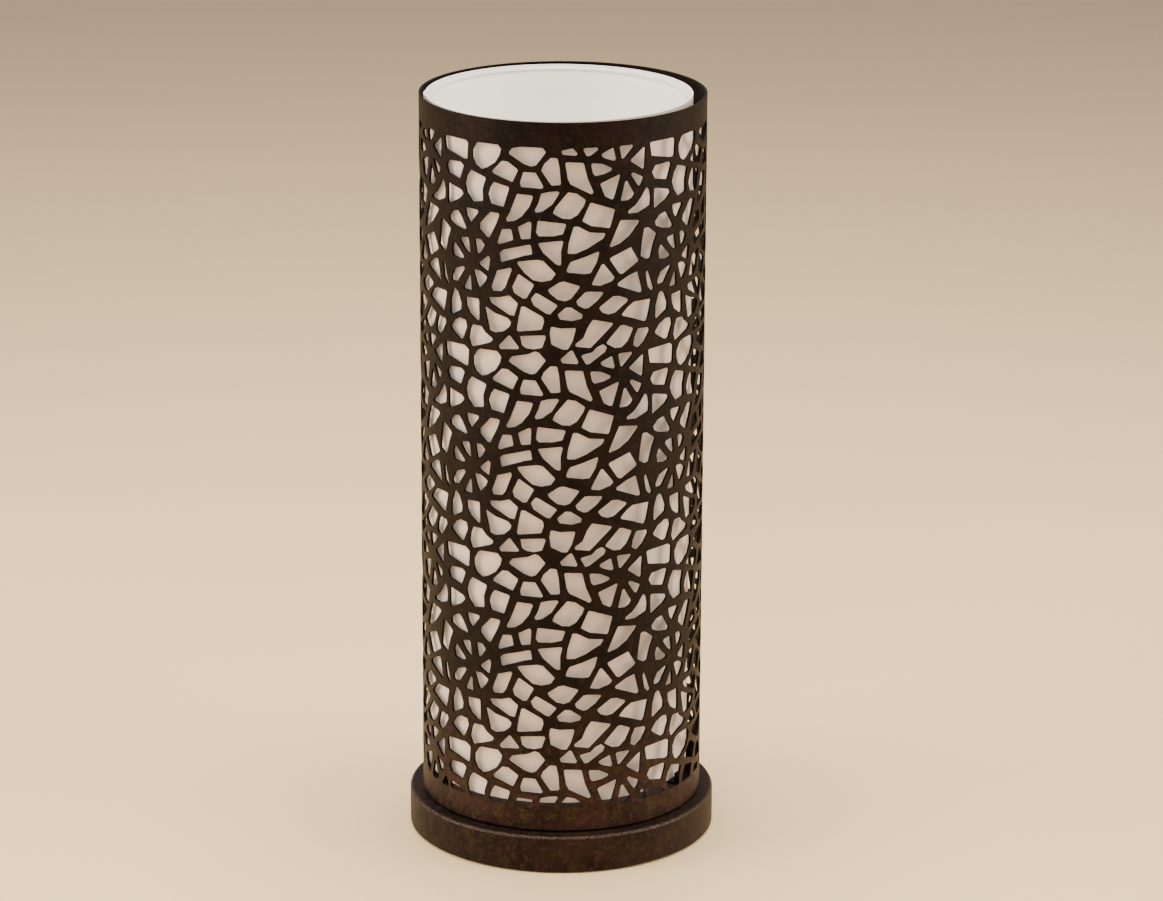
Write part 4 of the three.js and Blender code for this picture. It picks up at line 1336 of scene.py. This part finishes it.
def make_bulb():
    """The bulb: opal dome, ribbed housing, threaded cap, insulator and contact."""
    low, high, _ = node_box("bulb_glass")
    housing_low, housing_high, _ = node_box("bulb_housing")
    cap_low, cap_high, _ = node_box("bulb_cap")
    radius, wall = 30 * MM, 1 * MM
    centre = high.z - radius
    start = math.asin((low.z - centre) / radius)

    def arc(size, first, last, steps):
        return [(size * math.cos(first + (last - first) * i / steps),
                 centre + size * math.sin(first + (last - first) * i / steps))
                for i in range(steps + 1)]
    crown = math.pi / 2
    outer = arc(radius, start, crown, 40)
    inner = arc(radius - wall, crown, start, 40)
    outer[-1], inner[0] = (0, high.z), (0, high.z - wall)
    mesh = turned("bulb_dome", outer + inner, 96)
    finished("bulb_dome", mesh, "opal_glass", BULB, "bulb_glass")

    neck, rim = cap_high.x + 2 * MM, housing_high.x
    profile = rounded([
        (neck - 4 * MM, housing_low.z), (neck, housing_low.z, 0.8 * MM),
        (neck + 1 * MM, housing_low.z + 8 * MM, 5 * MM),
        (rim, housing_high.z, 0.5 * MM), (rim - 2 * MM, housing_high.z, 0.4 * MM),
        (neck - 2 * MM, housing_low.z + 8 * MM, 4 * MM)], 0.4 * MM, 6)
    turned_piece("bulb_body_shell", profile, 128, "white_plastic", BULB, "bulb_housing")

    radius, inner, pitch = cap_high.x, cap_high.x - 1 * MM, SCREW_PITCH
    thread_low, thread_high = cap_low.z + 2.2 * MM, cap_high.z - 3 * MM
    profile = [(radius - 4 * MM, cap_low.z), (radius - 1.4 * MM, cap_low.z)]
    profile += stepped(radius, thread_low, thread_high, pitch, 10)
    profile += [(radius, thread_high + 0.4 * MM), (radius, cap_high.z), (inner, cap_high.z),
                (inner - 1.2 * MM, thread_high), (inner - 1.2 * MM, thread_low + 0.6 * MM),
                (radius - 4 * MM, cap_low.z + 1 * MM)]
    mesh = shaped("bulb_screw_cap", profile, thread(pitch, 1.1 * MM, thread_low, thread_high, 0.6),
                  radius, 96)
    finished("bulb_screw_cap", mesh, "steel", BULB, "bulb_cap")

    low, high, _ = node_box("bulb_insulator")
    profile = rounded([(4 * MM, low.z), (7 * MM, low.z), (high.x, high.z), (4 * MM, high.z)],
                      0.3 * MM)
    turned_piece("bulb_glass_bead", profile, 64, "black_plastic", BULB, "bulb_insulator")
    low, high, _ = node_box("bulb_contact")
    profile = rounded([(0, low.z), (high.x * 0.8, low.z, 1 * MM), (high.x, low.z + 1 * MM),
                       (high.x, high.z), (0, high.z)], 0.3 * MM)
    turned_piece("bulb_end_contact", profile, 48, "brass", BULB, "bulb_contact")


# ---- Stage -----------------------------------------------------------------------------

FLOOR_RADIUS = 6

def make_camera():
    view = bpy.context.scene.lamp_camera
    data = bpy.data.cameras.new("camera")
    data.lens = view.lens
    data.sensor_width = 36
    data.clip_end = 50
    sin_yaw, cos_yaw = math.sin(view.yaw), math.cos(view.yaw)
    sin_pitch, cos_pitch = math.sin(view.pitch), math.cos(view.pitch)
    forward = Vector((sin_yaw * cos_pitch, cos_yaw * cos_pitch, -sin_pitch))
    level = Vector((cos_yaw, -sin_yaw, 0))
    down = forward.cross(level)
    right = math.cos(view.roll) * level + math.sin(view.roll) * down
    down = math.cos(view.roll) * down - math.sin(view.roll) * level
    turn = Matrix((right, -down, -forward)).transposed().to_4x4()
    camera = new_object("camera", data)
    camera.matrix_world = Matrix.Translation((0, -view.distance, view.height)) @ turn
    bpy.context.scene.camera = camera


def area_light(name, place, size, power, tint=(1, 1, 1)):
    """A square soft light aimed at the middle of the lamp."""
    data = bpy.data.lights.new(name, "AREA")
    data.size = size
    data.energy = power
    data.color = tint
    light = new_object(name, data)
    light.location = place
    aim = Vector((0, 0, 0.2)) - Vector(place)
    light.rotation_euler = aim.to_track_quat("-Z", "Y").to_euler()


def make_stage():
    """A plain pale floor, soft studio lights and the camera."""
    make_camera()
    floor = turned("floor", block(0, FLOOR_RADIUS, -20 * MM, 0), 96)
    made = Material("floor", roughness=0.45)
    tint = bpy.context.scene.lamp_colours.floor
    made.mottle(made.noise(3, 2), 0.3, 0.7, tint, scaled(tint, 0.98))
    piece = new_object("floor", floor)
    floor.materials.append(made.material)
    world = bpy.data.worlds.new("studio")
    world.use_nodes = True
    world.node_tree.nodes["Background"].inputs["Color"].default_value = (1.0, 0.97, 0.93, 1)
    world.node_tree.nodes["Background"].inputs["Strength"].default_value = 0.42
    bpy.context.scene.world = world
    area_light("left", (-1.9, -0.5, 0.95), 1.3, 46, (1.0, 0.96, 0.91))
    area_light("right", (1.9, -0.4, 0.85), 1.3, 38, (1.0, 0.95, 0.90))
    area_light("front", (-0.5, -2.6, 1.9), 1.0, 20, (1.0, 0.96, 0.92))
    area_light("overhead", (0.0, 0.1, 1.9), 1.1, 62, (1.0, 0.96, 0.91))


# ---- Operators, panel and main ---------------------------------------------------------

class LAMP_OT_stage(bpy.types.Operator):
    """A plain pale floor, soft studio lights and the camera"""
    bl_idname = "lamp.stage"
    bl_label = "Stage and camera"

    def execute(self, context):
        make_stage()
        return {"FINISHED"}


class LAMP_OT_base(bpy.types.Operator):
    """The base pan with its weight, under cover and felt disc"""
    bl_idname = "lamp.base"
    bl_label = "Base"

    def execute(self, context):
        make_base()
        return {"FINISHED"}


class LAMP_OT_cord_bush(bpy.types.Operator):
    """The bush in the base's cord hole"""
    bl_idname = "lamp.cord_bush"
    bl_label = "Cord bush"

    def execute(self, context):
        make_cord_bush()
        return {"FINISHED"}


class LAMP_OT_collar(bpy.types.Operator):
    """The ring that the shade stands round"""
    bl_idname = "lamp.collar"
    bl_label = "Collar"

    def execute(self, context):
        make_collar()
        return {"FINISHED"}


class LAMP_OT_shade(bpy.types.Operator):
    """The cut-out shade"""
    bl_idname = "lamp.shade"
    bl_label = "Cut-out shade"

    def execute(self, context):
        make_shade()
        return {"FINISHED"}


class LAMP_OT_fasteners(bpy.types.Operator):
    """The screws and nuts of the collar and the shade"""
    bl_idname = "lamp.fasteners"
    bl_label = "Screws and nuts"

    def execute(self, context):
        make_fasteners()
        return {"FINISHED"}


class LAMP_OT_tube(bpy.types.Operator):
    """The threaded tube with its washers and nuts"""
    bl_idname = "lamp.tube"
    bl_label = "Threaded tube"

    def execute(self, context):
        make_tube()
        return {"FINISHED"}


class LAMP_OT_lampholder(bpy.types.Operator):
    """The lampholder's five pieces"""
    bl_idname = "lamp.lampholder"
    bl_label = "Lampholder"

    def execute(self, context):
        make_lampholder()
        return {"FINISHED"}


class LAMP_OT_gallery(bpy.types.Operator):
    """The gallery that carries the liner"""
    bl_idname = "lamp.gallery"
    bl_label = "Gallery"

    def execute(self, context):
        make_gallery()
        return {"FINISHED"}


class LAMP_OT_clamp_ring(bpy.types.Operator):
    """The ribbed ring that holds the gallery down"""
    bl_idname = "lamp.clamp_ring"
    bl_label = "Clamp ring"

    def execute(self, context):
        make_clamp_ring()
        return {"FINISHED"}


class LAMP_OT_liner(bpy.types.Operator):
    """The fabric liner and its two wire rings"""
    bl_idname = "lamp.liner"
    bl_label = "Fabric liner"

    def execute(self, context):
        make_liner()
        return {"FINISHED"}


class LAMP_OT_bulb(bpy.types.Operator):
    """The bulb's five pieces"""
    bl_idname = "lamp.bulb"
    bl_label = "Bulb"

    def execute(self, context):
        make_bulb()
        return {"FINISHED"}


OPERATORS = (
    LAMP_OT_stage, LAMP_OT_base, LAMP_OT_cord_bush, LAMP_OT_collar,
    LAMP_OT_shade, LAMP_OT_fasteners, LAMP_OT_tube,
    LAMP_OT_lampholder, LAMP_OT_gallery, LAMP_OT_clamp_ring,
    LAMP_OT_liner, LAMP_OT_bulb,
)


class LAMP_PT_pieces(bpy.types.Panel):
    """Lists the lamp's sizes, colours and pieces."""
    bl_label = "Cut-out table lamp"
    bl_space_type = "VIEW_3D"
    bl_region_type = "UI"
    bl_category = "Lamp"

    def draw(self, context):
        scene = context.scene
        for group in SETTINGS:
            box = self.layout.box()
            for key in SETTINGS[group].__annotations__:
                box.prop(getattr(scene, group), key)
        for item in OPERATORS:
            self.layout.operator(item.bl_idname)


SETTINGS = {
    "lamp_shade": LampShadeSizes, "lamp_base": LampBaseSizes, "lamp_liner": LampLinerSizes,
    "lamp_colours": LampColours, "lamp_camera": LampCamera,
}


def register():
    for item in (*SETTINGS.values(), *OPERATORS, LAMP_PT_pieces):
        bpy.utils.register_class(item)
    for name, group in SETTINGS.items():
        setattr(bpy.types.Scene, name, bpy.props.PointerProperty(type=group))


def unregister():
    for name in SETTINGS:
        delattr(bpy.types.Scene, name)
    for item in (LAMP_PT_pieces, *reversed(OPERATORS), *SETTINGS.values()):
        bpy.utils.unregister_class(item)


def main():
    register()
    for item in OPERATORS:
        group, name = item.bl_idname.split(".")
        getattr(getattr(bpy.ops, group), name)()


if __name__ == "__main__":
    main()
